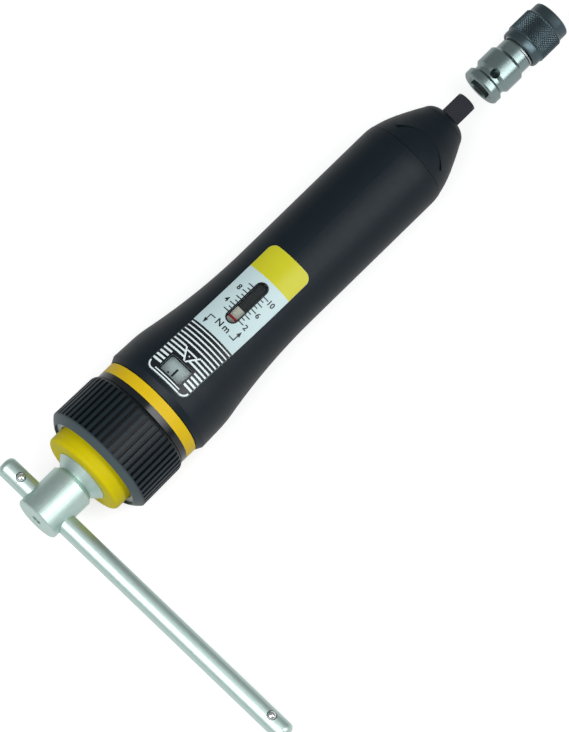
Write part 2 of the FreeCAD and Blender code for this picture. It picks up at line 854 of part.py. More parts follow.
def label_and_lenses():
    """The label plate with its two cut-outs, and the two clear lenses under it."""
    plate = body_of("label_plate")
    skin(plate, ZERO, d.label_thickness, rounded_rectangle(
        label_rear, label_front, d.label_half_width, d.label_corner), d.label_thickness * 3)
    above = d.grip_end_radius * 1.1
    pocket(plate, "slot", "XY_Plane", [rounded_rectangle(
        slot_rear, slot_front, d.slot_half_width, d.slot_corner)], ZERO, above)
    pocket(plate, "window", "XY_Plane", [rounded_rectangle(
        window_rear, window_front, d.window_half_width, d.window_corner)], ZERO, above)
    finish(plate, "label_plate", TOOL_ROLL)

    under = d.label_thickness + d.running_fit * 2
    for name, rear, front, half, corner, thickness in (
            ("scale_lens", slot_rear, slot_front, d.slot_half_width, d.slot_corner,
             d.scale_lens_thickness),
            ("dial_lens", window_rear, window_front, d.window_half_width, d.window_corner,
             d.dial_lens_thickness)):
        lens = body_of(name)
        skin(lens, under, under + thickness, rounded_rectangle(
            rear - d.lens_margin, front + d.lens_margin, half + d.lens_margin, corner),
            d.label_thickness * 3)
        finish(lens, name, TOOL_ROLL)


def end_rings():
    """The yellow index ring and the black neck ring on the grip's rear spigot."""
    bore = d.grip_rear_bore + d.grip_spigot_wall + d.running_fit
    turned_part("index_ring", tube(bore, d.band_radius, band_rear, band_front), TOOL_ROLL)
    turned_part("neck_ring", tube(bore, d.band_radius, neck_rear, band_rear), TOOL_ROLL)


# ---------------------------------------------------------------- setting mechanism

def setting():
    """Spring seat with its pointer, and the pronged nut that pushes it through the bulkhead."""
    seat = body_of("spring_seat")
    spigot_end = seat_front + d.spring_spigot_length
    turned(seat, "turning", [
        (seat_rear, ZERO), (seat_rear, d.seat_radius), (seat_front, d.seat_radius),
        (seat_front, d.spring_spigot_radius), (spigot_end, d.spring_spigot_radius),
        (spigot_end, ZERO)])
    foot_top = d.pointer_top - d.pointer_thickness
    foot_bottom = d.pointer_top - d.pointer_foot_depth
    foot_front = seat_front - (d.seat_thickness - d.pointer_foot) / 2
    foot_rear = foot_front - d.pointer_foot
    fit = d.running_fit
    pocket(seat, "notch", "XZ_Plane", [rectangle(
        foot_rear - fit, foot_front + fit, foot_bottom - fit, d.seat_radius * 1.1)],
        -d.pointer_half_width - fit, d.pointer_half_width + fit)
    finish(seat, "spring_seat", TOOL_ROLL)

    pointer = body_of("scale_pointer")
    tip = pointer_line + d.pointer_length
    pad(pointer, "strip", "XZ_Plane", [[
        (tip, foot_top), (tip, d.pointer_top), (foot_rear, d.pointer_top),
        (foot_rear, foot_bottom), (foot_front, foot_bottom), (foot_front, foot_top)]],
        -d.pointer_half_width, d.pointer_half_width)
    finish(pointer, "scale_pointer", TOOL_ROLL)

    nut = body_of("setting_nut")
    turned(nut, "turning", tube(d.sleeve_radius + fit, d.nut_radius, nut_rear, nut_front))
    prong = pad(nut, "prong", "YZ_Plane",
                [sector(d.prong_inner, d.prong_outer, d.prong_half_angle)],
                nut_front - fit, seat_rear - d.contact_gap)
    ring_of(nut, "prongs", prong, d.prong_count)
    finish(nut, "setting_nut", TOOL_ROLL)


def rear_core():
    """Fixed core: a bulkhead screwed into the grip, with a tube that carries everything behind."""
    core = body_of("rear_core")
    fit = d.running_fit
    tube_rear = socket_front + fit
    bulkhead_radius = d.grip_rear_bore - fit
    turned(core, "turning", [
        (bulkhead_front - fit, d.core_thread_radius), (bulkhead_front - fit, bulkhead_radius),
        (bulkhead_rear, bulkhead_radius), (bulkhead_rear, d.core_radius),
        (tube_rear, d.core_radius), (tube_rear, d.core_thread_radius)])
    slot = pocket(core, "slot", "YZ_Plane", [sector(
        d.prong_inner - fit * 2, d.prong_outer + fit * 2, d.prong_half_angle * 1.1)],
        bulkhead_rear - fit, bulkhead_front + fit)
    ring_of(core, "slots", slot, d.prong_count)
    shank = pocket(core, "shank_hole", "YZ_Plane",
                   [Circle(ZERO, d.core_screw_pitch, d.core_screw_radius + fit)],
                   bulkhead_rear - fit, bulkhead_front + fit)
    ring_of(core, "shank_holes", shank, d.screw_count)
    head = pocket(core, "head_hole", "YZ_Plane",
                  [Circle(ZERO, d.core_screw_pitch, d.screw_head_radius + fit)],
                  bulkhead_rear - fit, bulkhead_rear + d.screw_head_height + fit)
    ring_of(core, "head_holes", head, d.screw_count)
    pin_x = socket_front + d.core_pin_lead
    reach = d.core_radius * 1.1
    pocket(core, "pin_hole", "XZ_Plane",
           [Circle(pin_x, ZERO, d.core_pin_radius + fit)], -reach, reach)
    finish(core, "rear_core", TOOL_ROLL)

    pin = body_of("core_pin")
    half = d.core_radius - fit
    pad(pin, "pin", "XZ_Plane", [Circle(pin_x, ZERO, d.core_pin_radius)], -half, half)
    finish(pin, "core_pin", TOOL_ROLL)

    screws("core_screws", bulkhead_rear, d.core_screw_pitch, d.core_screw_radius,
           d.screw_head_radius, d.core_screw_length)


def screws(name, head_rear_x, pitch, shank, head, length):
    """A ring of cap screws, their flush heads at a rear station and their shanks forward."""
    members = []
    for index in range(round(d.screw_count.value)):
        screw = body_of(f"{name}_{index + 1}")
        head_front_x = head_rear_x + d.screw_head_height
        turned(screw, "turning", [
            (head_rear_x, ZERO), (head_rear_x, head), (head_front_x, head),
            (head_front_x, shank), (head_rear_x + length, shank), (head_rear_x + length, ZERO)])
        key_half = shank / 2
        pocket(screw, "key", "YZ_Plane", [rectangle(-key_half, key_half, -key_half, key_half)],
               head_rear_x, head_front_x - d.screw_head_height / 3)
        angle = math.radians(TOOL_ROLL + FULL_TURN * index / d.screw_count.value)
        screw.Placement = Placement(
            Vector(0, -pitch.value * math.sin(angle), pitch.value * math.cos(angle)),
            Rotation(Vector(1, 0, 0), math.degrees(angle)))
        members.append(screw)
    group(name, members)


def sleeve_and_collar():
    """Everything that turns with the adjusting collar."""
    fit = d.running_fit
    sleeve = body_of("adjusting_sleeve")
    sleeve_front = bulkhead_rear - d.turning_gap
    turned(sleeve, "turning", [
        (sleeve_front, d.core_radius + fit), (sleeve_front, d.sleeve_radius),
        (web_rear, d.sleeve_radius), (web_rear, d.sleeve_flange_radius),
        (sleeve_rear, d.sleeve_flange_radius), (sleeve_rear, d.core_radius + fit)])
    shank = pocket(sleeve, "shank_hole", "YZ_Plane",
                   [Circle(ZERO, d.collar_screw_pitch, d.collar_screw_radius + fit)],
                   sleeve_rear - fit, web_rear + fit)
    ring_of(sleeve, "shank_holes", shank, d.screw_count)
    head = pocket(sleeve, "head_hole", "YZ_Plane",
                  [Circle(ZERO, d.collar_screw_pitch, d.screw_head_radius + fit)],
                  sleeve_rear - fit, sleeve_rear + d.screw_head_height + fit)
    ring_of(sleeve, "head_holes", head, d.screw_count)
    finish(sleeve, "adjusting_sleeve", TOOL_ROLL)

    collar = body_of("adjusting_collar")
    round_rear = collar_front - d.collar_front_round
    rim_front = collar_rear + d.collar_rim
    drum_bore = d.drum_outer + fit
    bezel_bore = d.bezel_outer + fit
    turned(collar, "turning", [
        (collar_front, drum_bore), (collar_front, d.collar_front_radius, d.collar_front_bulge),
        (round_rear, d.collar_rib_front_radius), (rim_front, d.collar_radius, d.collar_rim_bulge),
        (collar_rear, d.collar_rim_radius), (collar_rear, bezel_bore),
        (bezel_front + fit, bezel_bore), (bezel_front + fit, d.collar_recess),
        (web_rear, d.collar_recess), (web_rear, d.sleeve_radius + fit),
        (web_front, d.sleeve_radius + fit), (web_front, drum_bore)])
    rib_front = collar_front - d.rib_front_margin
    half = d.rib_groove_width / 2
    rib = pocket(collar, "rib_groove", "YZ_Plane",
                 [rectangle(-half, half, d.rib_root_radius, d.collar_radius * 1.1)],
                 rim_front, rib_front)
    ring_of(collar, "ribs", rib, d.rib_count)
    half_pitch = as_size(FULL_TURN / 2) / d.lock_tooth_count
    tooth = pad(collar, "tooth", "YZ_Plane",
                [sector(d.collar_tooth_radius, d.collar_recess + d.tooth_gap,
                        d.collar_tooth_half_angle, half_pitch)],
                collar_tooth_rear, collar_tooth_front)
    ring_of(collar, "teeth", tooth, d.lock_tooth_count)
    screw_front = sleeve_rear + d.collar_screw_length + d.contact_gap
    hole = pocket(collar, "screw_hole", "YZ_Plane",
                  [Circle(ZERO, d.collar_screw_pitch, d.collar_screw_radius + fit)],
                  web_rear - fit, screw_front)
    ring_of(collar, "screw_holes", hole, d.screw_count)
    finish(collar, "adjusting_collar", TOOL_ROLL)

    screws("collar_screws", sleeve_rear, d.collar_screw_pitch, d.collar_screw_radius,
           d.screw_head_radius, d.collar_screw_length)
    turned_part("dial_drum", tube(d.drum_inner, d.drum_outer, web_front + fit,
                                  bulkhead_rear - d.turning_gap * 4), TOOL_ROLL)
    turned_part("bezel_ring", tube(d.bezel_inner, d.bezel_outer, bezel_rear, bezel_front),
                TOOL_ROLL)
    turned_part("thrust_ring", tube(d.core_radius + fit, d.sleeve_radius,
                                    thrust_front - d.thrust_thickness, thrust_front), TOOL_ROLL)


def lock():
    """The yellow lock ring, splined to the core, with the wire ring that holds it in place."""
    body = body_of("lock_ring")
    mouth = lock_rear + d.lock_mouth_depth
    lock_bulge = d.lock_round * (1 - math.sqrt(0.5))
    turned(body, "turning", [
        (tooth_front, d.lock_bore), (tooth_front, d.lock_hub_radius),
        (tooth_rear, d.lock_hub_radius), (tooth_rear, d.lock_radius),
        (lock_rear + d.lock_round, d.lock_radius, lock_bulge),
        (lock_rear, d.lock_radius - d.lock_round), (lock_rear, d.lock_mouth),
        (mouth, d.lock_mouth), (mouth, d.lock_bore)])
    groove(body, "hollow", tube(d.lock_pocket_inner, d.lock_pocket_outer,
                                tooth_front - d.lock_pocket_depth, tooth_front))
    tooth = pad(body, "tooth", "YZ_Plane", [sector(
        d.lock_hub_radius - d.tooth_gap, d.lock_tooth_radius, d.lock_tooth_half_angle)],
        tooth_rear, tooth_front)
    ring_of(body, "teeth", tooth, d.lock_tooth_count)
    key_half = d.lock_key_width / 2
    fit = d.running_fit
    keyway = pocket(body, "keyway", "YZ_Plane", [rectangle(
        -key_half - fit, key_half + fit, d.lock_bore - d.lock_key_height,
        d.socket_body_radius + d.lock_key_height + fit * 2)], mouth - fit, tooth_front)
    ring_of(body, "keyways", keyway, d.key_count)
    finish(body, "lock_ring", TOOL_ROLL)

    ring_top = d.socket_body_radius + fit
    turned_part("lock_detent_ring", tube(
        ring_top - d.detent_ring_wire * 2, ring_top, detent_ring_x - d.detent_ring_wire,
        detent_ring_x + d.detent_ring_wire), TOOL_ROLL)

    socket = body_of("handle_socket")
    spigot_front = socket_front + d.socket_spigot
    land_front = cone_base + d.cone_land
    turned(socket, "turning", [
        (spigot_front, ZERO), (spigot_front, d.core_thread_radius - fit),
        (socket_front, d.core_thread_radius - fit), (socket_front, d.socket_body_radius),
        (land_front, d.socket_body_radius), (land_front, d.cone_base_radius),
        (cone_base, d.cone_base_radius), (cone_tip, d.cone_tip_radius), (cone_tip, ZERO)])
    key = pad(socket, "key", "YZ_Plane", [rectangle(
        -key_half, key_half, d.socket_body_radius - d.lock_key_height,
        d.socket_body_radius + d.lock_key_height)], land_front, socket_front)
    ring_of(socket, "keys", key, d.key_count)
    wire_half = d.detent_ring_wire + fit
    groove(socket, "detent_groove", tube(
        d.socket_body_radius - d.detent_ring_wire * 2 - fit, d.cone_base_radius * 1.1,
        detent_ring_x - wire_half, detent_ring_x + wire_half))
    side = d.socket_side / 2
    pocket(socket, "square", "YZ_Plane", [rectangle(-side, side, -side, side)],
           cone_tip, cone_tip + d.socket_depth)
    pin_x = socket_front + d.core_pin_lead
    pocket(socket, "pin_hole", "XZ_Plane", [Circle(pin_x, ZERO, d.core_pin_radius + fit)],
           -d.core_radius, d.core_radius)
    finish(socket, "handle_socket", TOOL_ROLL)


# ---------------------------------------------------------------- T-handle

def t_head():
    """Turned head with a square stub that plugs into the socket, and its retaining O-ring."""
    body = body_of("t_head")
    stub_front = head_front + d.stub_length
    chamfered = d.head_radius - d.head_front_chamfer
    turned(body, "turning", [
        (stub_front, ZERO), (stub_front, d.stub_turned_radius - d.stub_tip_chamfer),
        (stub_front - d.stub_tip_chamfer, d.stub_turned_radius),
        (head_front, d.stub_turned_radius), (head_front, chamfered),
        (head_front - d.head_front_chamfer, d.head_radius),
        (head_rear + d.head_rear_chamfer, d.head_radius),
        (head_rear, d.head_radius - d.head_rear_chamfer), (head_rear, ZERO)])
    half = d.drive_side / 2
    flat = pocket(body, "flat", "YZ_Plane", [rectangle(
        -d.stub_turned_radius, d.stub_turned_radius, half, d.stub_turned_radius)],
        head_front, stub_front)
    ring_of(body, "flats", flat, as_size(4))
    o_ring_x = stub_front - d.o_ring_lead
    o_ring_half = d.o_ring_wire + d.running_fit
    groove(body, "o_ring_groove", tube(
        d.o_ring_radius - d.o_ring_wire - d.contact_gap, d.stub_turned_radius * 1.1,
        o_ring_x - o_ring_half, o_ring_x + o_ring_half))
    reach = d.head_radius * 1.1
    pocket(body, "cross_hole", "XZ_Plane",
           [Circle(bar_x, ZERO, d.bar_radius + d.running_fit)], -reach, reach)
    pocket(body, "centre_hole", "YZ_Plane", [Circle(ZERO, ZERO, d.head_centre_radius)],
           head_rear, head_rear + d.head_centre_depth)
    finish(body, "t_head", TOOL_ROLL)
    wire_ring("stub_o_ring", o_ring_x, d.o_ring_radius, d.o_ring_wire)


def t_bar():
    """Sliding bar with a sprung ball near each end. Its own frame has the bar along Y."""
    body = body_of("t_bar")
    face = d.bar_radius - d.bar_round
    long_end, short_end = -d.bar_long, d.bar_short
    turned(body, "turning", [
        (ZERO, long_end), (face, long_end, d.bar_round_bulge),
        (d.bar_radius, long_end + d.bar_round), (d.bar_radius, short_end - d.bar_round,
                                                 d.bar_round_bulge),
        (face, short_end), (ZERO, short_end)], axis="V_Axis", plane="XY_Plane")
    for end, along, twist in (("long", long_end + d.detent_inset, d.long_detent_twist),
                              ("short", short_end - d.detent_inset, ZERO)):
        hole = pocket(body, f"{end}_hole", "XY_Plane",
                      [Circle(ZERO, along, d.detent_radius + d.running_fit)],
                      d.bar_radius - d.detent_hole_depth, d.bar_radius * 1.1)
        tilt = Rotation(Vector(0, 1, 0), twist.value)
        low = d.bar_radius - d.detent_hole_depth
        sketch = hole.Profile[0]
        sketch.AttachmentOffset = Placement(Vector(), tilt)
        bind(sketch, "AttachmentOffset.Base.x", low * sine(twist))
        bind(sketch, "AttachmentOffset.Base.z", low * cosine(twist))
        detent(end, along, tilt)
    finish(body, "t_bar", TOOL_ROLL, bar_x.value)


def detent(end, along, tilt):
    """The sprung ball of one end of the bar, and its spring, turned about the bar by a tilt."""
    seat = d.bar_radius - d.detent_hole_depth
    centre = d.bar_radius + d.detent_stand - d.detent_radius
    roll = Rotation(Vector(1, 0, 0), TOOL_ROLL)
    local = Placement(Vector(bar_x.value, 0, 0), roll).multiply(
        Placement(Vector(0, along.value, 0), tilt))
    sub_parts.append(ball(f"{end}_detent_ball", d.detent_radius, local.multiply(
        Placement(Vector(0, 0, centre.value), Rotation()))))
    spring = body_of(f"{end}_detent_spring")
    gap = d.detent_wire + d.contact_gap
    coil(spring, "coils", seat + gap, centre - d.detent_radius - gap + d.detent_wire,
         d.detent_coil, d.detent_wire, d.detent_turns, axis="V_Axis")
    spring.Label = f"{end}_detent_spring"
    spring.Placement = local
    sub_parts.append(spring)


# ---------------------------------------------------------------- bit adapter

def adapter():
    """Square-to-hexagon bit adapter with its quick-release sleeve, off the drive and in line."""
    start = adapter_rear
    fit = d.running_fit
    tip = start + d.adapter_length
    body = body_of("adapter_body")
    flange_front_x = start + d.adapter_flange
    turned(body, "turning", [
        (start, ZERO), (start, d.adapter_radius - d.adapter_chamfer),
        (start + d.adapter_chamfer, d.adapter_radius),
        (flange_front_x, d.adapter_radius),
        (start + d.adapter_groove_lead, d.adapter_groove_radius),
        (start + d.adapter_groove_end, d.adapter_groove_radius),
        (start + d.adapter_body_lead, d.adapter_radius),
        (start + d.adapter_body_end, d.adapter_radius),
        (start + d.adapter_neck_lead, d.adapter_neck_radius),
        (start + d.adapter_shoulder, d.adapter_neck_radius),
        (start + d.adapter_shoulder, d.adapter_stem_radius),
        (tip - d.adapter_chamfer, d.adapter_stem_radius),
        (tip, d.adapter_stem_radius - d.adapter_chamfer), (tip, ZERO)][::-1])
    side = d.adapter_socket_side / 2
    pocket(body, "square_socket", "YZ_Plane", [rectangle(-side, side, -side, side)],
           start, start + d.adapter_socket_depth)
    mouth = side * math.sqrt(2)
    groove(body, "mouth_chamfer", [
        (start, ZERO), (start, mouth), (start + d.adapter_mouth_chamfer,
                                        mouth - d.adapter_mouth_chamfer),
        (start + d.adapter_mouth_chamfer, ZERO)][::-1])
    pocket(body, "cross_hole", "XY_Plane",
           [Circle(start + d.adapter_hole_lead, ZERO, d.adapter_hole_radius)],
           ZERO, d.adapter_radius * 1.1)
    flat = d.hex_across / 2
    point = flat / cosine(as_size(30))
    slope = flat * sine(as_size(30)) / cosine(as_size(30))
    hexagon = [(point, ZERO), (slope, flat), (-slope, flat),
               (-point, ZERO), (-slope, -flat), (slope, -flat)]
    hex_bottom = tip - d.hex_depth
    pocket(body, "hex_socket", "YZ_Plane", [hexagon], hex_bottom, tip)
    pocket(body, "magnet_bore", "YZ_Plane", [Circle(ZERO, ZERO, d.magnet_radius + fit)],
           hex_bottom - d.magnet_length, hex_bottom)
    ball_station = start + d.bit_ball_lead
    pocket(body, "ball_hole", "XY_Plane",
           [Circle(ball_station, ZERO, d.bit_ball_radius + fit)],
           -d.adapter_stem_radius * 1.1, ZERO)
    groove(body, "snap_groove", tube(
        d.snap_inner - fit, d.adapter_stem_radius * 1.1,
        start + d.snap_lead - fit, start + d.snap_lead + d.snap_thickness + fit))
    finish(body, "adapter_body", DRIVE_ROLL)

    turned_part("bit_magnet", tube(ZERO, d.magnet_radius, hex_bottom - d.magnet_length + fit,
                                   hex_bottom), DRIVE_ROLL)
    turned_part("snap_ring", tube(d.snap_inner, d.snap_outer, start + d.snap_lead,
                                  start + d.snap_lead + d.snap_thickness), DRIVE_ROLL)

    sleeve = body_of("quick_sleeve")
    rear = start + d.sleeve_lead
    knurl_rear = start + d.knurl_lead
    knurl_front = start + d.knurl_end
    band_rear_x = start + d.front_band_lead
    front = start + d.front_band_end
    ramp_rear, ramp_front = start + d.ramp_lead, start + d.ramp_end
    ramp_radius = d.ramp_start_radius + d.ramp_slope * (ramp_front - ramp_rear)
    guide = d.adapter_stem_radius + fit
    shoulder = start + d.snap_lead - fit
    rise = (d.knurl_radius - d.sleeve_rear_radius)
    turned(sleeve, "turning", [
        (rear, d.quick_bore), (start + d.quick_bore_end, d.quick_bore),
        (start + d.quick_bore_end, guide), (ramp_rear, guide), (ramp_rear, d.ramp_start_radius),
        (ramp_front, ramp_radius), (start + d.guide_lead, guide), (shoulder, guide),
        (shoulder, d.snap_outer + fit), (front, d.snap_outer + fit),
        (front, d.front_band_radius - d.front_band_round / 2),
        (front - d.front_band_round, d.front_band_radius), (band_rear_x, d.front_band_radius),
        (knurl_front, d.knurl_radius), (knurl_rear, d.knurl_radius),
        (knurl_rear - rise, d.sleeve_rear_radius),
        (rear + d.sleeve_rear_chamfer, d.sleeve_rear_radius),
        (rear, d.sleeve_rear_radius - d.sleeve_rear_chamfer / 2)])
    finish(sleeve, "quick_sleeve", DRIVE_ROLL)

    spring = body_of("quick_spring")
    gap = d.quick_wire + d.contact_gap
    coil(spring, "coils", start + d.adapter_shoulder + gap, start + d.quick_bore_end - gap,
         d.quick_coil, d.quick_wire, d.quick_turns)
    finish(spring, "quick_spring", DRIVE_ROLL)

    sub_parts.append(ball_round_axis("bit_ball", ball_station, d.bit_ball_pitch,
                                     as_size(DRIVE_ROLL) + as_size(180), d.bit_ball_radius))


def check_features():
    """Stop if an object failed, or a feature changed its body the wrong way."""
    failed = [item.Name for item in document.Objects
              if "Invalid" in item.State or "Error" in item.State]
    if failed:
        raise RuntimeError(f"failed objects: {failed}")
    for item in document.Objects:
        base = getattr(item, "BaseFeature", None)
        if base is None or item.TypeId == "PartDesign::Body":
            continue
        change = item.Shape.Volume - base.Shape.Volume
        removes = item.TypeId in ("PartDesign::Pocket", "PartDesign::Groove")
        adds = item.TypeId in ("PartDesign::Pad", "PartDesign::Revolution")
        if (removes and change > -1e-6) or (adds and change < 1e-6) or abs(change) < 1e-6:
            raise RuntimeError(f"{item.Name} changes its body by {change:.6f} mm3")


def export():
    """Write each sub-part to its own STEP file."""
    os.makedirs("parts", exist_ok=True)
    for item in sub_parts:
        shape = item.Shape
        if shape.isNull() or not shape.isValid() or not shape.Solids:
            raise RuntimeError(f"{item.Label} has no valid solid")
        shape.exportStep(f"parts/{item.Label}.step")
        print(f"{item.Label}: {len(shape.Solids)} solid, {shape.Volume:.1f} mm3")


drive_shaft()
clutch()
nose()
grip()
label_and_lenses()
end_rings()
setting()
rear_core()
sleeve_and_collar()
lock()
t_head()
t_bar()
adapter()
document.recompute()
check_features()
export()
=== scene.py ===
"""Dresses the torque screwdriver: finishes, printed scale, knurled sleeve and studio.

Lengths in the dataclasses are millimetres in the tool's own frame: X runs forward out of the
drive, Z points through the middle of the scale label. The frame's own unit is the metre.
"""

import json
import logging
import math
from dataclasses import dataclass, field
from enum import Enum
from typing import Callable, Optional, Sequence

import bpy
import numpy as np
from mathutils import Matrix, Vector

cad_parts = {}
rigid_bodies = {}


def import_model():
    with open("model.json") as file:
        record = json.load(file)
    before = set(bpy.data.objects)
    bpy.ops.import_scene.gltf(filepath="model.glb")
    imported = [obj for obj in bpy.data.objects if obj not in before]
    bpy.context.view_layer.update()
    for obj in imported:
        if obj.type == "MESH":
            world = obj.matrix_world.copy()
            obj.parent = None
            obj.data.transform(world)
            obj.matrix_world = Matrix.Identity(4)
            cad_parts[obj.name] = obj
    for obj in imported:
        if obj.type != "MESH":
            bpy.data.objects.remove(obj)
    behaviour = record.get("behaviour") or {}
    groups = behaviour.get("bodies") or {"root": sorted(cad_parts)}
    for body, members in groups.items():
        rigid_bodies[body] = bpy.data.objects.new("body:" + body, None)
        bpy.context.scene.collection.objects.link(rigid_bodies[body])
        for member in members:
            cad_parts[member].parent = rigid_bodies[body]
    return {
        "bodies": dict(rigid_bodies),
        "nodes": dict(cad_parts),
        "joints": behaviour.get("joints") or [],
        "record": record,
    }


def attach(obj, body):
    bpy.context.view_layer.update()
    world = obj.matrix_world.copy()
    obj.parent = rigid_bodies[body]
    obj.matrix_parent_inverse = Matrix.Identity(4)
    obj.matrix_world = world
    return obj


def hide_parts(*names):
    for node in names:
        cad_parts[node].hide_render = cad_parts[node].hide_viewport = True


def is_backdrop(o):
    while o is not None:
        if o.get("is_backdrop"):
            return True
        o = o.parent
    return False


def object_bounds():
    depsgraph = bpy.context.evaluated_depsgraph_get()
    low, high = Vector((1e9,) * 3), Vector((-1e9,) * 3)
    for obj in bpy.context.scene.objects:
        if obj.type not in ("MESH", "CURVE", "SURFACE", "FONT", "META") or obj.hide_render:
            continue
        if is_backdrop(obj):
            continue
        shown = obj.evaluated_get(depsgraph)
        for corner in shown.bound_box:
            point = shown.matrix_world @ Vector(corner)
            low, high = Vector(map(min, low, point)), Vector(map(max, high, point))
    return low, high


LOG = logging.getLogger("torque_screwdriver")
MM = 0.001
Colour = tuple[float, float, float]
Array = np.ndarray


# ------------------------------------------------------------------ frames of reference

@dataclass(frozen=True)
class Roll:
    """A turn about the tool's axis, from a sub-assembly's own upright to the ground's."""

    degrees: float

    def place(self, points: Array) -> Array:
        """Turn points in millimetres about X and give them in metres.

        Args:
            points: Coordinates, one row a point.

        Returns:
            The turned coordinates: y' = y cos a - z sin a, z' = y sin a + z cos a.
        """
        angle = math.radians(self.degrees)
        cos, sin = math.cos(angle), math.sin(angle)
        x, y, z = np.asarray(points, dtype=float).T
        return np.stack([x, y * cos - z * sin, y * sin + z * cos], axis=1) * MM


def roll_of_joint(frame: dict, name: str) -> float:
    """Angle in degrees of the direction in which a cross-wise joint slides, from level.

    Args:
        frame: What the frame's loader returned.
        name: The joint's name.

    Returns:
        The roll of the sub-assembly whose -Y the joint's axis is.
    """
    axis = next(joint["axis"] for joint in frame["joints"] if joint["name"] == name)
    return math.degrees(math.atan2(-axis[2], -axis[1]))


# ------------------------------------------------------------------ mesh making

def grid_faces(rows: int, columns: int, closed_rows: bool, closed_columns: bool) -> Array:
    """Quads of a grid of points numbered row by row.

    Args:
        rows: Number of rows of points.
        columns: Number of points in a row.
        closed_rows: True if the last row joins the first.
        closed_columns: True if each row is a loop.

    Returns:
        Four point numbers a face: (i, j), (i + 1, j), (i + 1, j + 1), (i, j + 1).
    """
    i = np.arange(rows if closed_rows else rows - 1)
    j = np.arange(columns if closed_columns else columns - 1)
    i, j = np.meshgrid(i, j, indexing="ij")
    i2, j2 = (i + 1) % rows, (j + 1) % columns
    quads = np.stack([i * columns + j, i2 * columns + j, i2 * columns + j2, i * columns + j2])
    return quads.reshape(4, -1).T


@dataclass
class Piece:
    """A mesh piece of the visual model and what the frame has to know about it."""

    name: str
    body: str
    slot: str
    material: bpy.types.Material
    smooth_angle: Optional[float] = 30.0

    def from_faces(self, points: Array, faces: Array) -> bpy.types.Object:
        """Make the piece from points in metres and faces.

        Args:
            points: Coordinates, one row a point.
            faces: Point numbers, one row a face.

        Returns:
            The linked object, riding on its body.
        """
        mesh = bpy.data.meshes.new(self.name)
        mesh.from_pydata(np.asarray(points).tolist(), [], np.asarray(faces).tolist())
        return self.from_mesh(mesh)

    def from_mesh(self, mesh: bpy.types.Mesh) -> bpy.types.Object:
        """Weld a mesh, point its faces outwards and make it a piece.

        Args:
            mesh: A mesh already in its place.

        Returns:
            The linked object, riding on its body.
        """
        import bmesh
        work = bmesh.new()
        work.from_mesh(mesh)
        bmesh.ops.remove_doubles(work, verts=work.verts, dist=1e-7)
        bmesh.ops.dissolve_degenerate(work, edges=work.edges, dist=1e-7)
        bmesh.ops.recalc_face_normals(work, faces=work.faces)
        work.to_mesh(mesh)
        work.free()
        mesh.validate()
        if self.smooth_angle is not None:
            mesh.shade_smooth()
            mesh.set_sharp_from_angle(angle=math.radians(self.smooth_angle))
        item = bpy.data.objects.new(self.name, mesh)
        bpy.context.scene.collection.objects.link(item)
        item.data.materials.append(self.material)
        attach(item, self.body)
        LOG.info("%s: %d faces on %s", self.name, len(mesh.polygons), self.body)
        return item


def revolve(profile: Sequence[tuple[float, float]], count: int, closed: bool = True) -> Array:
    """Points of a profile turned about X.

    Args:
        profile: (x, radius) along the profile.
        count: Number of steps round the axis.
        closed: Not used.

    Returns:
        Array (rows, count, 3): (x, r sin a, r cos a), with a running once round.
    """
    line = np.asarray(profile, dtype=float)
    angle = np.linspace(0.0, 2 * math.pi, count, endpoint=False)
    x = np.repeat(line[:, :1], count, axis=1)
    return np.stack([x, np.outer(line[:, 1], np.sin(angle)),
                     np.outer(line[:, 1], np.cos(angle))], axis=2)


def smoothstep(value: Array) -> Array:
    """3 t^2 - 2 t^3 for t clipped to 0..1."""
    t = np.clip(value, 0.0, 1.0)
    return t * t * (3.0 - 2.0 * t)


# ------------------------------------------------------------------ shader building

class Shader:
    """Short-hand for making one node tree."""

    def __init__(self, tree: bpy.types.NodeTree) -> None:
        """Take a tree and clear it."""
        self.tree = tree
        tree.nodes.clear()

    def node(self, kind: str, inputs: Optional[dict] = None, **settings: object) -> bpy.types.Node:
        """Add a node.

        Args:
            kind: The node's type without its ShaderNode prefix, or a full type name.
            inputs: Socket name or number to a value, or to another node's output socket.
            **settings: Properties of the node.

        Returns:
            The node.
        """
        full = kind if kind.startswith("Node") else "ShaderNode" + kind
        item = self.tree.nodes.new(full)
        for key, value in settings.items():
            setattr(item, key, value)
        for key, value in (inputs or {}).items():
            self.feed(item.inputs[key], value)
        return item

    def feed(self, socket: bpy.types.NodeSocket, value: object) -> None:
        """Link a socket to another socket, or set its value."""
        if isinstance(value, bpy.types.NodeSocket):
            self.tree.links.new(value, socket)
        else:
            socket.default_value = value

    def maths(self, operation: str, *values: object) -> bpy.types.NodeSocket:
        """A Math node's result for up to three numbers or sockets."""
        item = self.node("Math", dict(enumerate(values)), operation=operation)
        return item.outputs[0]

    def mix(self, factor: object, low: object, high: object) -> bpy.types.NodeSocket:
        """A colour between two colours."""
        item = self.node("Mix", data_type="RGBA")
        for key, value in ((0, factor), (6, low), (7, high)):
            self.feed(item.inputs[key], value)
        return item.outputs[2]


def new_group(name: str, inputs: dict[str, float], outputs: Sequence[str]) -> tuple[Shader, dict, dict]:
    """Start a shader node group with number sockets.

    Args:
        name: The group's name.
        inputs: Input names and their usual values.
        outputs: Output names.

    Returns:
        The group's builder, its input sockets by name and its output node's sockets by name.
    """
    tree = bpy.data.node_groups.new(name, "ShaderNodeTree")
    shader = Shader(tree)
    for label, value in inputs.items():
        socket = tree.interface.new_socket(label, in_out="INPUT", socket_type="NodeSocketFloat")
        socket.default_value = value
    for label in outputs:
        tree.interface.new_socket(label, in_out="OUTPUT", socket_type="NodeSocketFloat")
    entry = shader.node("NodeGroupInput")
    leave = shader.node("NodeGroupOutput")
    return shader, {key: entry.outputs[key] for key in inputs}, {
        key: leave.inputs[key] for key in outputs}


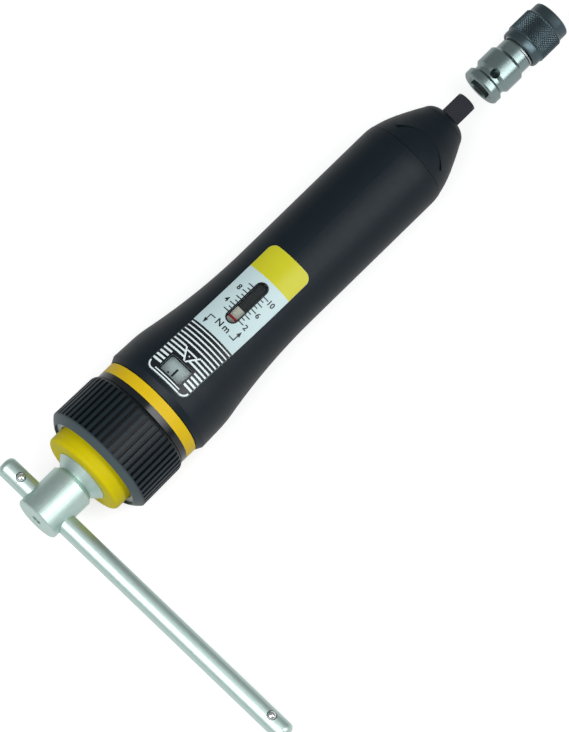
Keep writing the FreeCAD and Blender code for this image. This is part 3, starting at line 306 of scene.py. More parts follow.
class Effects:
    """The shared node groups: moulded grain, blasted or turned metal, and handling marks."""

    def __init__(self) -> None:
        """Build each group once."""
        self.grain = self._grain()
        self.satin = self._satin()
        self.turned = self._turned()
        self.handling = self._handling()

    @staticmethod
    def _millimetres(shader: Shader) -> bpy.types.NodeSocket:
        """Object coordinates in millimetres."""
        place = shader.node("TexCoord").outputs["Object"]
        return shader.node("VectorMath", {0: place, 1: (1000.0,) * 3},
                           operation="MULTIPLY").outputs[0]

    def _grain(self) -> bpy.types.NodeTree:
        """Pebbled grain of moulded plastic: rounded cells broken up by fine noise."""
        shader, given, result = new_group("moulded_grain", {"Cell": 0.5}, ["Height", "Mottle"])
        place = self._millimetres(shader)
        density = shader.maths("DIVIDE", 1.0, given["Cell"])
        cells = shader.node("TexVoronoi", {"Vector": place, "Scale": density, "Smoothness": 0.6},
                            feature="SMOOTH_F1").outputs["Distance"]
        fine = shader.node("TexNoise", {"Vector": place, "Detail": 3.0,
                                        "Scale": shader.maths("MULTIPLY", density, 2.4)})
        shader.feed(result["Height"], shader.maths(
            "ADD", shader.maths("MULTIPLY", cells, -0.7), fine.outputs["Fac"]))
        broad = shader.node("TexNoise", {"Vector": place, "Scale": 0.35, "Detail": 4.0})
        shader.feed(result["Mottle"], broad.outputs["Fac"])
        return shader.tree

    def _satin(self) -> bpy.types.NodeTree:
        """Fine random dimples of blasted and plated steel, with a soft cloudy variation."""
        shader, given, result = new_group("satin_blast", {"Grit": 0.12}, ["Height", "Cloud"])
        place = self._millimetres(shader)
        density = shader.maths("DIVIDE", 1.0, given["Grit"])
        grit = shader.node("TexNoise", {"Vector": place, "Scale": density, "Detail": 2.0})
        cloud = shader.node("TexNoise", {"Vector": place, "Scale": 0.8, "Detail": 5.0})
        shader.feed(result["Height"], grit.outputs["Fac"])
        shader.feed(result["Cloud"], cloud.outputs["Fac"])
        return shader.tree

    def _turned(self) -> bpy.types.NodeTree:
        """Tool marks of turning: noise stretched round the tool's axis, so it varies along X."""
        shader, given, result = new_group("turned_marks", {"Feed": 0.15}, ["Height"])
        place = self._millimetres(shader)
        lengthwise = shader.node("SeparateXYZ", {0: place}).outputs["X"]
        lines = shader.node("TexNoise", {
            "W": shader.maths("DIVIDE", lengthwise, given["Feed"]), "Scale": 1.0, "Detail": 2.0},
            noise_dimensions="1D")
        shader.feed(result["Height"], lines.outputs["Fac"])
        return shader.tree

    def _handling(self) -> bpy.types.NodeTree:
        """Broad smudges and a few fine scuffs from handling."""
        shader, given, result = new_group("handling_marks", {"Size": 9.0}, ["Smudge", "Scuff"])
        place = self._millimetres(shader)
        density = shader.maths("DIVIDE", 1.0, given["Size"])
        smudge = shader.node("TexNoise", {"Vector": place, "Scale": density, "Detail": 6.0,
                                          "Roughness": 0.6}).outputs["Fac"]
        scuff = shader.node("TexNoise", {"Vector": place, "Detail": 8.0, "Roughness": 0.75,
                                         "Scale": shader.maths("MULTIPLY", density, 6.0)})
        sharp = shader.node("MapRange", {"Value": scuff.outputs["Fac"], "From Min": 0.62,
                                         "From Max": 0.72})
        shader.feed(result["Smudge"], smudge)
        shader.feed(result["Scuff"], sharp.outputs[0])
        return shader.tree


@dataclass(frozen=True)
class Finish:
    """What every finish states: its name, colour and gloss."""

    name: str
    colour: Colour
    roughness: float = 0.5
    specular: float = 0.5

    def build(self, effects: Effects) -> bpy.types.Material:
        """Make the material.

        Args:
            effects: The shared node groups.

        Returns:
            The finished material.
        """
        material = bpy.data.materials.new("finish_" + self.name)
        material.use_nodes = True
        shader = Shader(material.node_tree)
        surface = shader.node("BsdfPrincipled", {"Base Color": (*self.colour, 1.0),
                                                 "Roughness": self.roughness,
                                                 "Specular IOR Level": self.specular})
        self.dress(shader, surface, effects)
        output = shader.node("OutputMaterial")
        shader.feed(output.inputs["Surface"], surface.outputs[0])
        return material

    def dress(self, shader: Shader, surface: bpy.types.Node, effects: Effects) -> None:
        """Add what the kind of finish has beyond a colour and a gloss."""

    def vary(self, shader: Shader, surface: bpy.types.Node, mask: bpy.types.NodeSocket,
             colour_change: float, roughness_change: float) -> None:
        """Let a mask shift colour and roughness about their stated values.

        Args:
            shader: The material's tree.
            surface: Its Principled BSDF.
            mask: A value around 0.5.
            colour_change: Share by which the colour falls and rises.
            roughness_change: Amount by which roughness falls and rises.
        """
        low = tuple(max(0.0, c * (1.0 - colour_change)) for c in self.colour)
        high = tuple(min(1.0, c * (1.0 + colour_change)) for c in self.colour)
        shader.feed(surface.inputs["Base Color"], shader.mix(mask, (*low, 1.0), (*high, 1.0)))
        rough = shader.node("MapRange", {
            "Value": mask, "To Min": self.roughness - roughness_change,
            "To Max": self.roughness + roughness_change})
        shader.feed(surface.inputs["Roughness"], rough.outputs[0])

    @staticmethod
    def raise_bump(shader: Shader, surface: bpy.types.Node, height: bpy.types.NodeSocket,
                   depth: float, strength: float = 1.0) -> None:
        """Turn a height into the surface's normal, with a depth in millimetres."""
        bump = shader.node("Bump", {"Height": height, "Distance": depth * MM,
                                    "Strength": strength})
        shader.feed(surface.inputs["Normal"], bump.outputs[0])


@dataclass(frozen=True)
class MouldedPlastic(Finish):
    """Injection-moulded plastic with a pebbled grain."""

    cell: float = 0.5
    depth: float = 0.02
    colour_change: float = 0.12
    roughness_change: float = 0.05

    def dress(self, shader: Shader, surface: bpy.types.Node, effects: Effects) -> None:
        """Grain as bump, with mottled colour and gloss."""
        grain = shader.node("Group", node_tree=effects.grain)
        grain.inputs["Cell"].default_value = self.cell
        self.vary(shader, surface, grain.outputs["Mottle"], self.colour_change,
                  self.roughness_change)
        self.raise_bump(shader, surface, grain.outputs["Height"], self.depth)


@dataclass(frozen=True)
class RibbedPlastic(MouldedPlastic):
    """The collar's plastic, with painted shade at the bottom of its grooves and a painted sheen on the
    rear rim.
    """

    # Colour of the painted shade at the bottom of the grooves.
    groove_shade: Colour = (0.001, 0.002, 0.003)
    # Colour of the painted sheen on the rounded rear rim.
    rim_sheen: Colour = (0.055, 0.078, 0.088)
    groove_shade_radii: tuple[float, float] = (18.1, 18.55)
    rim_sheen_stations: tuple[float, float] = (-156.4, -157.1)

    def dress(self, shader: Shader, surface: bpy.types.Node, effects: Effects) -> None:
        """Grain, then painted shade in the grooves by distance from the axis and a painted sheen on the
        rim by station.
        """
        super().dress(shader, surface, effects)
        plain = surface.inputs["Base Color"].links[0].from_socket
        place = shader.node("SeparateXYZ", {0: shader.node("TexCoord").outputs["Object"]})
        reach = shader.maths("SQRT", shader.maths(
            "ADD", shader.maths("POWER", place.outputs["Y"], 2.0),
            shader.maths("POWER", place.outputs["Z"], 2.0)))
        # Painted shade: near black at the groove bottoms, fading to the plain colour on the rib tops.
        top = self.between(shader, reach, self.groove_shade_radii)
        # Painted sheen: a paler colour on the rear rim, standing in for its gloss catching the light.
        rear = self.between(shader, place.outputs["X"], self.rim_sheen_stations)
        groove_shaded = shader.mix(top, (*self.groove_shade, 1.0), plain)
        shader.feed(surface.inputs["Base Color"], shader.mix(rear, groove_shaded, (*self.rim_sheen, 1.0)))

    @staticmethod
    def between(shader: Shader, value: bpy.types.NodeSocket,
                limits: tuple[float, float]) -> bpy.types.NodeSocket:
        """0 at the first of two lengths in millimetres and 1 at the second."""
        return shader.node("MapRange", {"Value": value, "From Min": limits[0] * MM,
                                        "From Max": limits[1] * MM}).outputs[0]


@dataclass(frozen=True)
class SatinMetal(Finish):
    """Blasted and plated steel."""

    grit: float = 0.12
    depth: float = 0.004
    colour_change: float = 0.05
    roughness_change: float = 0.06

    def dress(self, shader: Shader, surface: bpy.types.Node, effects: Effects) -> None:
        """Full metal with fine grit."""
        surface.inputs["Metallic"].default_value = 1.0
        satin = shader.node("Group", node_tree=effects.satin)
        satin.inputs["Grit"].default_value = self.grit
        self.vary(shader, surface, satin.outputs["Cloud"], self.colour_change,
                  self.roughness_change)
        self.raise_bump(shader, surface, satin.outputs["Height"], self.depth)


@dataclass(frozen=True)
class TurnedMetal(Finish):
    """Metal with the marks of the lathe."""

    feed: float = 0.15
    depth: float = 0.004
    metallic: float = 1.0

    def dress(self, shader: Shader, surface: bpy.types.Node, effects: Effects) -> None:
        """Lines round the axis and slight smudges."""
        surface.inputs["Metallic"].default_value = self.metallic
        marks = shader.node("Group", node_tree=effects.turned)
        marks.inputs["Feed"].default_value = self.feed
        smudges = shader.node("Group", node_tree=effects.handling)
        self.vary(shader, surface, smudges.outputs["Smudge"], 0.10, 0.06)
        self.raise_bump(shader, surface, marks.outputs["Height"], self.depth)


@dataclass(frozen=True)
class SmoothFinish(Finish):
    """Gloss or satin print, paint or rubber, with only smudges."""

    colour_change: float = 0.05
    roughness_change: float = 0.05
    coat: float = 0.0

    def dress(self, shader: Shader, surface: bpy.types.Node, effects: Effects) -> None:
        """Smudges in colour and gloss."""
        surface.inputs["Coat Weight"].default_value = self.coat
        smudges = shader.node("Group", node_tree=effects.handling)
        self.vary(shader, surface, smudges.outputs["Smudge"], self.colour_change,
                  self.roughness_change)


@dataclass(frozen=True)
class PointerSpringAndShade(SmoothFinish):
    """The pointer strip, light as far as its tip and dark beyond it, where the colour stands in for the
    dark spring and painted shade inside the slot.
    """

    tip: float = -96.9
    # Dark spring colour together with painted shade of the slot's inside, ahead of the pointer's tip.
    ahead: Colour = (0.006, 0.008, 0.011)

    def dress(self, shader: Shader, surface: bpy.types.Node, effects: Effects) -> None:
        """The pointer's own colour behind the tip, and ahead of it the dark spring's colour with
        painted shade of the slot's inside.
        """
        lengthwise = shader.node("SeparateXYZ", {0: shader.node("TexCoord").outputs["Object"]})
        spring_and_shade_mask = shader.maths("GREATER_THAN", lengthwise.outputs["X"], self.tip * MM)
        shader.feed(surface.inputs["Base Color"],
                    shader.mix(spring_and_shade_mask, (*self.colour, 1.0), (*self.ahead, 1.0)))


@dataclass(frozen=True)
class ClearWindow(Finish):
    """A thin clear moulded window."""

    clearness: float = 0.9

    def dress(self, shader: Shader, surface: bpy.types.Node, effects: Effects) -> None:
        """Mostly see-through, with its own gloss."""
        surface.inputs["Alpha"].default_value = 1.0 - self.clearness


FINISHES: dict[str, Finish] = {finish.name: finish for finish in (
    MouldedPlastic("dark_plastic", (0.0024, 0.0082, 0.0135), 0.46, 0.26, cell=0.42,
                   depth=0.022),
    RibbedPlastic("collar_plastic", (0.0075, 0.0155, 0.0215), 0.42, 0.25, cell=0.3,
                  depth=0.006),
    SmoothFinish("black_gloss", (0.003, 0.005, 0.007), 0.2, 0.45),
    MouldedPlastic("golden_band", (0.68, 0.46, 0.006), 0.45, 0.2, cell=0.6, depth=0.003,
                   colour_change=0.05),
    MouldedPlastic("yellow_plastic", (0.58, 0.485, 0.0), 0.5, 0.12, cell=0.6, depth=0.004,
                   colour_change=0.04),
    MouldedPlastic("grey_plastic", (0.36, 0.40, 0.41), 0.42, cell=0.5, depth=0.004,
                   colour_change=0.04),
    SmoothFinish("label_print", (0.52, 0.66, 0.68), 0.34, 0.35),
    SmoothFinish("label_yellow", (0.56, 0.54, 0.018), 0.34, 0.3),
    SmoothFinish("label_white", (0.74, 0.84, 0.86), 0.38, 0.35),
    SmoothFinish("label_ink", (0.004, 0.006, 0.009), 0.36, 0.4),
    SmoothFinish("marker_red", (0.50, 0.004, 0.025), 0.4, 0.35),
    ClearWindow("clear_lens", (0.05, 0.06, 0.06), 0.08, 0.25),
    SmoothFinish("drum_aluminium", (0.58, 0.70, 0.70), 0.36),
    SmoothFinish("cream_plastic", (0.72, 0.74, 0.62), 0.45),
    PointerSpringAndShade("pointer_spring_and_shade", (0.66, 0.68, 0.58), 0.45),
    TurnedMetal("black_steel", (0.012, 0.012, 0.02), 0.36, feed=0.25, depth=0.003,
                metallic=0.6),
    TurnedMetal("knurled_steel", (0.085, 0.12, 0.135), 0.36, feed=0.25, depth=0.002),
    SatinMetal("satin_nickel", (0.26, 0.33, 0.33), 0.3, grit=0.16, depth=0.002),
    SatinMetal("satin_chrome", (0.56, 0.70, 0.665), 0.44, grit=0.11, depth=0.004),
    TurnedMetal("hardened_steel", (0.42, 0.43, 0.45), 0.38),
    TurnedMetal("bright_steel", (0.78, 0.80, 0.80), 0.12, depth=0.0),
    TurnedMetal("bronze", (0.50, 0.33, 0.15), 0.4),
    SmoothFinish("black_rubber", (0.012, 0.012, 0.013), 0.7),
)}
NODE_FINISHES = {"adjusting_collar": "collar_plastic", "scale_pointer": "pointer_spring_and_shade"}


class Paint:
    """All the materials, made once."""

    def __init__(self) -> None:
        """Build the shared groups and each finish."""
        effects = Effects()
        self.made = {name: finish.build(effects) for name, finish in FINISHES.items()}

    def __getitem__(self, name: str) -> bpy.types.Material:
        """The material of that name."""
        return self.made[name]

    def dress_nodes(self, frame: dict) -> None:
        """Give each node of the frame the finish of its record slot.

        Args:
            frame: What the frame's loader returned.
        """
        slots = {part["node"]: part["material_slot"] for part in frame["record"]["subparts"]}
        for name, item in frame["nodes"].items():
            chosen = self.made[NODE_FINISHES.get(name, slots[name])]
            for index in range(len(item.material_slots)):
                item.material_slots[index].material = chosen


# ------------------------------------------------------------------ the printed label

@dataclass(frozen=True)
class GripSurface:
    """The grip's outside under the label: a cylinder that flares towards the rear."""

    roll: Roll
    straight: tuple[float, float] = (-80.0, 14.55)
    shoulder: tuple[float, float] = (-117.0, 17.62)
    crown: tuple[float, float] = (-124.5, 18.53)
    end: tuple[float, float] = (-132.4, 18.76)
    waist_sag: float = -0.83
    crown_sag: float = 0.16

    @staticmethod
    def arc(x: Array, start: tuple[float, float], end: tuple[float, float], sag: float) -> Array:
        """Height of a circular arc over its chord's ends.

        The circle has radius R = (c^2 / 4 + s^2) / (2 s) for a chord c and a sag s. Its centre
        is R - s from the chord's middle, on the chord's other side.

        Args:
            x: Stations.
            start: The chord's front end (x, radius).
            end: The chord's rear end (x, radius).
            sag: How far the arc's middle stands out of the chord, negative for hollow.

        Returns:
            The radius at each station.
        """
        first, last = np.asarray(start), np.asarray(end)
        chord = last - first
        length = float(np.hypot(*chord))
        circle = (length ** 2 / 4 + sag ** 2) / (2 * abs(sag))
        outward = np.array([-chord[1], chord[0]]) / length
        outward *= math.copysign(1.0, outward[1])
        side = math.copysign(1.0, sag)
        centre = (first + last) / 2 - outward * side * (circle - abs(sag))
        return centre[1] + side * np.sqrt(np.maximum(circle ** 2 - (x - centre[0]) ** 2, 0.0))

    def radius(self, x: Array) -> Array:
        """Radius at each station: cylinder, hollow arc, full arc, then a straight taper."""
        x = np.asarray(x, dtype=float)
        waist = self.arc(x, self.straight, self.shoulder, self.waist_sag)
        crown = self.arc(x, self.shoulder, self.crown, self.crown_sag)
        taper = np.interp(x, [self.end[0], self.crown[0]], [self.end[1], self.crown[1]])
        return np.select([x > self.straight[0], x > self.shoulder[0], x > self.crown[0]],
                         [np.full_like(x, self.straight[1]), waist, crown], taper)

    def over(self, x: Array, y: Array, lift: float) -> Array:
        """Points over the surface, seen from above at (x, y).

        Args:
            x: Stations.
            y: Distances to the side, measured straight across.
            lift: Height over the surface.

        Returns:
            Points (x, y, sqrt((r + lift)^2 - y^2)), flattened to rows and placed.
        """
        x, y = np.ravel(x), np.ravel(y)
        radius = self.radius(x) + lift
        return self.roll.place(np.stack([x, y, np.sqrt(radius ** 2 - y ** 2)], axis=1))

    def round_to(self, x: Array, arc: Array) -> Array:
        """Side distance of a point that lies an arc length round the surface: r sin(arc / r)."""
        radius = self.radius(x)
        return radius * np.sin(arc / radius)


def capsule_loop(x_low: float, x_high: float, half: float, corner: float, steps: int) -> Array:
    """Outline of a rectangle with round corners, lying along x.

    Args:
        x_low: Rear end.
        x_high: Front end.
        half: Half its width.
        corner: Corner radius.
        steps: Points in each quarter circle.

    Returns:
        Points (x, y): for each corner its centre plus the radius times (cos a, sin a), with the
        runs between corners divided as well so that a wrapped outline stays round.
    """
    quarter = np.linspace(0.0, math.pi / 2, steps)
    centres = [(x_high - corner, half - corner), (x_low + corner, half - corner),
               (x_low + corner, corner - half), (x_high - corner, corner - half)]
    arcs = [np.stack([cx + corner * np.cos(quarter + k * math.pi / 2),
                      cy + corner * np.sin(quarter + k * math.pi / 2)], axis=1)
            for k, (cx, cy) in enumerate(centres)]
    runs = []
    for k, arc in enumerate(arcs):
        following = arcs[(k + 1) % 4][0]
        share = np.linspace(0.0, 1.0, steps + 1, endpoint=False)[1:, None]
        runs += [arc, arc[-1] * (1 - share) + following * share]
    return np.concatenate(runs)


class Print:
    """Makes thin printed shapes on the label's surface."""

    def __init__(self, surface: GripSurface, sink: float = 0.08) -> None:
        """Keep the surface and how far a shape's underside is below it."""
        self.surface = surface
        self.sink = sink

    def band(self, inner: Array, outer: Array, lift: float) -> tuple[Array, Array]:
        """A closed band between two outlines with the same number of points.

        Args:
            inner: Inner outline (x, y).
            outer: Outer outline (x, y).
            lift: Height of its top.

        Returns:
            Points and faces: four loops, top inner, top outer, low outer and low inner.
        """
        loops = [self.surface.over(*line.T, height) for line, height in (
            (inner, lift), (outer, lift), (outer, -self.sink), (inner, -self.sink))]
        return np.concatenate(loops), grid_faces(4, len(inner), True, True)

    def patch(self, x: Array, low: Array, high: Array, lift: float,
              across: int = 12) -> tuple[Array, Array]:
        """A closed patch between two edges given along x.

        Args:
            x: Stations.
            low: One edge's side distance at each station.
            high: The other edge's.
            lift: Height of its top.
            across: Points across.

        Returns:
            Points and faces of a loop of top and underside points, carried along x, and its
            two end faces.
        """
        share = np.linspace(0.0, 1.0, across)
        y = low[:, None] + (high - low)[:, None] * share
        stations = np.repeat(x[:, None], across, axis=1)
        top = self.surface.over(stations, y, lift).reshape(len(x), across, 3)
        under = self.surface.over(stations, y, -self.sink).reshape(len(x), across, 3)
        ring = np.concatenate([top, under[:, ::-1]], axis=1)
        faces = grid_faces(len(x), 2 * across, False, True)
        strip = np.arange(across - 1)
        back = 2 * across - 1 - strip
        ends = np.concatenate([np.stack([strip, strip + 1, back - 1, back], axis=1),
                               np.stack([strip, back, back - 1, strip + 1], axis=1)
                               + (len(x) - 1) * 2 * across])
        return ring.reshape(-1, 3), np.concatenate([faces, ends])

    def bar(self, x_low: float, x_high: float, y_low: float, y_high: float,
            lift: float) -> tuple[Array, Array]:
        """A rectangle seen from above."""
        along = np.linspace(x_low, x_high, max(2, int(abs(x_high - x_low) / 0.6) + 2))
        across = max(2, int(abs(y_high - y_low) / 0.6) + 2)
        return self.patch(along, np.full_like(along, y_low), np.full_like(along, y_high), lift,
                          across)

    def stroke(self, start: tuple[float, float], end: tuple[float, float], width: float,
               lift: float, end_width: Optional[float] = None) -> tuple[Array, Array]:
        """A straight stroke between two points, seen from above, that may taper.

        Args:
            start: First end (x, y).
            end: Second end.
            width: Width at the first end.
            lift: Height of its top.
            end_width: Width at the second end, if it differs.

        Returns:
            Points and faces: the centre line plus and minus half the width at each step.
        """
        last = width if end_width is None else end_width
        line = np.linspace(start, end, 5)
        ahead = np.asarray(end, dtype=float) - np.asarray(start, dtype=float)
        normal = np.array([-ahead[1], ahead[0]]) / np.hypot(*ahead)
        half = np.linspace(width, last, 5)[:, None] / 2
        left, right = line + normal * half, line - normal * half
        loops = [self.surface.over(*edge.T, height) for edge, height in (
            (left, lift), (right, lift), (right, -self.sink), (left, -self.sink))]
        ring = np.stack(loops, axis=1)
        faces = grid_faces(5, 4, False, True)
        return ring.reshape(-1, 3), np.concatenate([faces, [[0, 1, 2, 3], [19, 18, 17, 16]]])

    @staticmethod
    def join(shapes: Sequence[tuple[Array, Array]]) -> tuple[Array, Array]:
        """Several shapes as one mesh's points and faces."""
        starts = np.cumsum([0] + [len(points) for points, _ in shapes[:-1]])
        return (np.concatenate([points for points, _ in shapes]),
                np.concatenate([faces + start for (_, faces), start in zip(shapes, starts)]))


def letters(text: str, height: float, spacing: float = 1.0, thick: float = 0.0,
            depth: float = 0.06) -> bpy.types.Mesh:
    """A short text as a mesh of millimetres, centred on its own middle.

    Args:
        text: The characters.
        height: Height of a capital.
        spacing: Distance between letters as a share of the usual.
        thick: Extra stroke width.
        depth: Half its thickness.

    Returns:
        The mesh, with x along the line and y up the letters.
    """
    curve = bpy.data.curves.new("letters", "FONT")
    curve.body = text
    curve.size = height / 0.69
    curve.space_character = spacing
    curve.offset = thick
    curve.extrude = depth
    curve.resolution_u = 4
    holder = bpy.data.objects.new("letters", curve)
    bpy.context.scene.collection.objects.link(holder)
    bpy.context.view_layer.update()
    mesh = bpy.data.meshes.new_from_object(holder)
    bpy.data.objects.remove(holder)
    points = read_points(mesh)
    middle = (points.min(axis=0) + points.max(axis=0)) / 2
    write_points(mesh, points - [middle[0], middle[1], 0.0])
    return mesh


def read_points(mesh: bpy.types.Mesh) -> Array:
    """A mesh's points as rows."""
    flat = np.empty(len(mesh.vertices) * 3)
    mesh.vertices.foreach_get("co", flat)
    return flat.reshape(-1, 3)


def write_points(mesh: bpy.types.Mesh, points: Array) -> None:
    """Put rows of points back into a mesh."""
    mesh.vertices.foreach_set("co", np.asarray(points, dtype=float).ravel())
    mesh.update()


def mesh_shape(mesh: bpy.types.Mesh) -> tuple[Array, list]:
    """A mesh's points and its faces as lists of point numbers."""
    return read_points(mesh), [list(face.vertices) for face in mesh.polygons]


@dataclass
class ScaleLabel:
    """The printed label with its scale, unit, stripes and windows, and the marks inside them."""

    paint: Paint
    surface: GripSurface
    front: float = -75.3
    rear: float = -129.9
    half_width: float = 7.95
    corner: float = 2.4
    edge: float = 0.03
    yellow_rear: float = -85.1
    stripes_front: float = -109.2
    stripe_pitch: float = 1.47
    stripe_widths: tuple[float, float] = (0.42, 0.74)
    slot: tuple[float, float] = (-102.7, -86.95)
    slot_half: float = 1.7
    window: tuple[float, float] = (-127.8, -122.0)
    window_half: float = 4.1
    scale_start: float = -100.5
    scale_step: float = 2.65
    field_lift: float = 0.05
    ink_lift: float = 0.09
    body: str = "handle"
    slot_name: str = "label_print"
    long_tick: tuple[float, float] = (2.0, 4.0)
    short_tick: tuple[float, float] = (2.0, 3.25)
    tick_width: float = 0.3
    figure_height: float = 1.75
    figure_side: tuple[float, float] = (-5.0, 5.35)
    marker_x: float = -100.5
    marker_radius: float = 12.87

    def __post_init__(self) -> None:
        """Make the print tool for this surface."""
        self.press = Print(self.surface)

    def piece(self, name: str, finish: str) -> Piece:
        """A piece of print on the handle."""
        return Piece(name, self.body, self.slot_name, self.paint[finish])

    def half_at(self, x: Array) -> Array:
        """Half width of the label at a station: full, less c - sqrt(c^2 - d^2) in the corners."""
        half = self.half_width - self.edge
        corner = self.corner
        from_end = np.minimum(self.front - self.edge - x, x - (self.rear + self.edge))
        depth = np.clip(corner - from_end, 0.0, corner)
        return half - (corner - np.sqrt(corner ** 2 - depth ** 2))

    def field(self, x_high: float, x_low: float, steps: int, lift: float) -> tuple[Array, Array]:
        """The label's full width between two stations, as a patch."""
        share = (1 - np.cos(np.linspace(0.0, math.pi, steps))) / 2
        x = x_high + (x_low - x_high) * share
        half = self.half_at(x)
        return self.press.patch(x, -half, half, lift, 28)

    def build(self) -> None:
        """Print every field, line and figure."""
        self.piece("label_yellow_field", "label_yellow").from_faces(
            *self.field(self.front - self.edge, self.yellow_rear, 26, self.field_lift))
        self.stripes()
        self.outlines()
        self.ticks()
        self.figures()
        self.arrows()
        self.marker()
        self.drum_figures()

    def stripes(self) -> None:
        """Dark field behind the scale with light lines, broken by the dial window."""
        dark = []
        frame = 0.55
        low, high = self.window[0] - frame, self.window[1] + frame
        x = np.concatenate([np.linspace(self.stripes_front, high, 24),
                            np.linspace(high, low, 12)[1:],
                            np.linspace(low, self.rear + self.edge, 16)[1:]])
        half = self.half_at(x)
        gap = self.window_half
        for low_edge, high_edge in ((-half, np.full_like(x, -gap)), (np.full_like(x, gap), half)):
            dark.append(self.press.patch(x, low_edge, high_edge, self.field_lift, 10))
        for x_high, x_low in ((self.stripes_front, self.window[1]),
                              (self.window[0], self.rear + self.edge)):
            along = np.linspace(x_high, x_low, 18)
            wide = np.full_like(along, gap)
            dark.append(self.press.patch(along, -wide, wide, self.field_lift, 16))
        self.piece("label_stripe_field", "label_ink").from_faces(*self.press.join(dark))

        light = []
        count = int((self.stripes_front - self.window[0]) / self.stripe_pitch)
        for index in range(count):
            middle = self.stripes_front - self.stripe_pitch * (index + 0.62)
            width = np.interp(index, [0, count - 1], self.stripe_widths)
            x_high, x_low = middle + width / 2, middle - width / 2
            half = float(self.half_at(np.array([middle]))[0]) - 0.15
            for start, end in self.stripe_spans(middle, half):
                light.append(self.press.bar(x_low, x_high, start, end, self.ink_lift))
        self.piece("label_stripes", "label_white").from_faces(*self.press.join(light))

    def stripe_spans(self, x: float, half: float) -> list[tuple[float, float]]:
        """Where a light stripe runs at a station: it leaves out the arrow and the window."""
        if x < self.window[1] + 0.7:
            return [(-half, -self.window_half - 0.5), (self.window_half + 0.5, half)]
        reach = self.arrow_half(x)
        if reach > 0.0:
            return [(-half, -reach - 0.1), (reach + 0.1, half)]
        return [(-half, half)]

    @staticmethod
    def arrow_half(x: float) -> float:
        """Half width of the space that the pointing arrow takes at a station."""
        tip, base = -121.6, -117.4
        return 3.0 * (x - tip) / (base - tip) if tip < x < base else 0.0

    def outlines(self) -> None:
        """Dark frames of the slot and the window, the light rear border and the arrow."""
        dark = [self.press.band(
            capsule_loop(*self.slot, self.slot_half, 1.69, 10),
            capsule_loop(self.slot[0] - 0.45, self.slot[1] + 0.45, self.slot_half + 0.45, 2.13, 10),
            self.ink_lift)]
        dark.append(self.press.band(
            capsule_loop(*self.window, self.window_half, 0.7, 6),
            capsule_loop(self.window[0] - 0.55, self.window[1] + 0.6, self.window_half + 0.55,
                         1.0, 6), self.ink_lift + 0.04))
        tip, base, spread = -121.0, -118.7, 1.25
        along = np.linspace(base, tip, 6)
        half = spread * (along - tip) / (base - tip)
        dark.append(self.press.patch(along, -half, half, self.ink_lift + 0.03, 5))
        self.piece("label_frames", "label_ink").from_faces(*self.press.join(dark))

        light = [self.press.stroke((-117.3, side * 2.85), (-121.9, side * -0.12), 0.5,
                                   self.ink_lift) for side in (-1.0, 1.0)]
        light.append(self.press.bar(-118.35, -117.85, -1.9, 1.9, self.ink_lift))
        light += self.rear_border()
        light.append(self.press.bar(-119.55, -119.15, -0.2, 0.2, self.ink_lift + 0.06))
        self.piece("label_borders", "label_white").from_faces(*self.press.join(light))

    def rear_border(self) -> list[tuple[Array, Array]]:
        """The light line round the label's rear end and the one behind the window."""
        outer, inner = 0.12, 0.58
        turn = np.linspace(0.0, math.pi / 2, 9)
        parts = []
        for side in (-1.0, 1.0):
            centre = (self.rear + self.edge + self.corner, self.half_width - self.edge
                      - self.corner)
            edges = [np.stack([centre[0] - (self.corner - inset) * np.sin(turn),
                               side * (centre[1] + (self.corner - inset) * np.cos(turn))], axis=1)
                     for inset in (outer, inner)]
            parts.append(self.ribbon(edges[0], edges[1]))
        rear = self.rear + self.edge
        reach = self.half_width - self.edge - self.corner
        parts.append(self.press.bar(rear + outer, rear + inner, -reach, reach, self.ink_lift))
        parts.append(self.press.bar(self.window[0] - 0.98, self.window[0] - 0.62,
                                    -self.window_half - 0.8, self.window_half + 0.8,
                                    self.ink_lift))
        return parts

    def ribbon(self, first: Array, second: Array) -> tuple[Array, Array]:
        """A closed strip between two open lines with the same number of points."""
        loops = [self.surface.over(*line.T, height) for line, height in (
            (first, self.ink_lift), (second, self.ink_lift), (second, -self.press.sink),
            (first, -self.press.sink))]
        count = len(first)
        last = 4 * (count - 1)
        faces = np.concatenate([grid_faces(count, 4, False, True),
                                [[0, 1, 2, 3], [last + 3, last + 2, last + 1, last]]])
        return np.stack(loops, axis=1).reshape(-1, 3), faces

    def ticks(self) -> None:
        """Long ticks at the even values on both sides of the slot, short ones between."""
        marks = []
        for index in range(9):
            x = self.scale_start + self.scale_step * index / 2
            near, far = self.short_tick if index % 2 else self.long_tick
            for side in (-1.0, 1.0):
                marks.append(self.press.bar(x - self.tick_width / 2, x + self.tick_width / 2,
                                            side * near, side * far, self.ink_lift))
        self.piece("scale_ticks", "label_ink").from_faces(*self.press.join(marks))

    def set_text(self, text: str, x: float, arc: float, height: float,
                 spacing: float = 1.0) -> tuple[Array, list]:
        """A text on the label, its top forward, wrapped round the surface.

        Args:
            text: The characters.
            x: Station of its middle.
            arc: Distance of its middle round the surface, positive towards +Y.
            height: Height of a capital.
            spacing: Distance between letters as a share of the usual.

        Returns:
            Points and faces.
        """
        mesh = letters(text, height, spacing, 0.045)
        points, faces = mesh_shape(mesh)
        stations = x + points[:, 1]
        radius = self.surface.radius(stations)
        angle = (arc - points[:, 0]) / radius
        lift = radius + np.where(points[:, 2] > 0, self.ink_lift, -self.press.sink)
        flat = np.stack([stations, lift * np.sin(angle), lift * np.cos(angle)], axis=1)
        return self.surface.roll.place(flat), faces

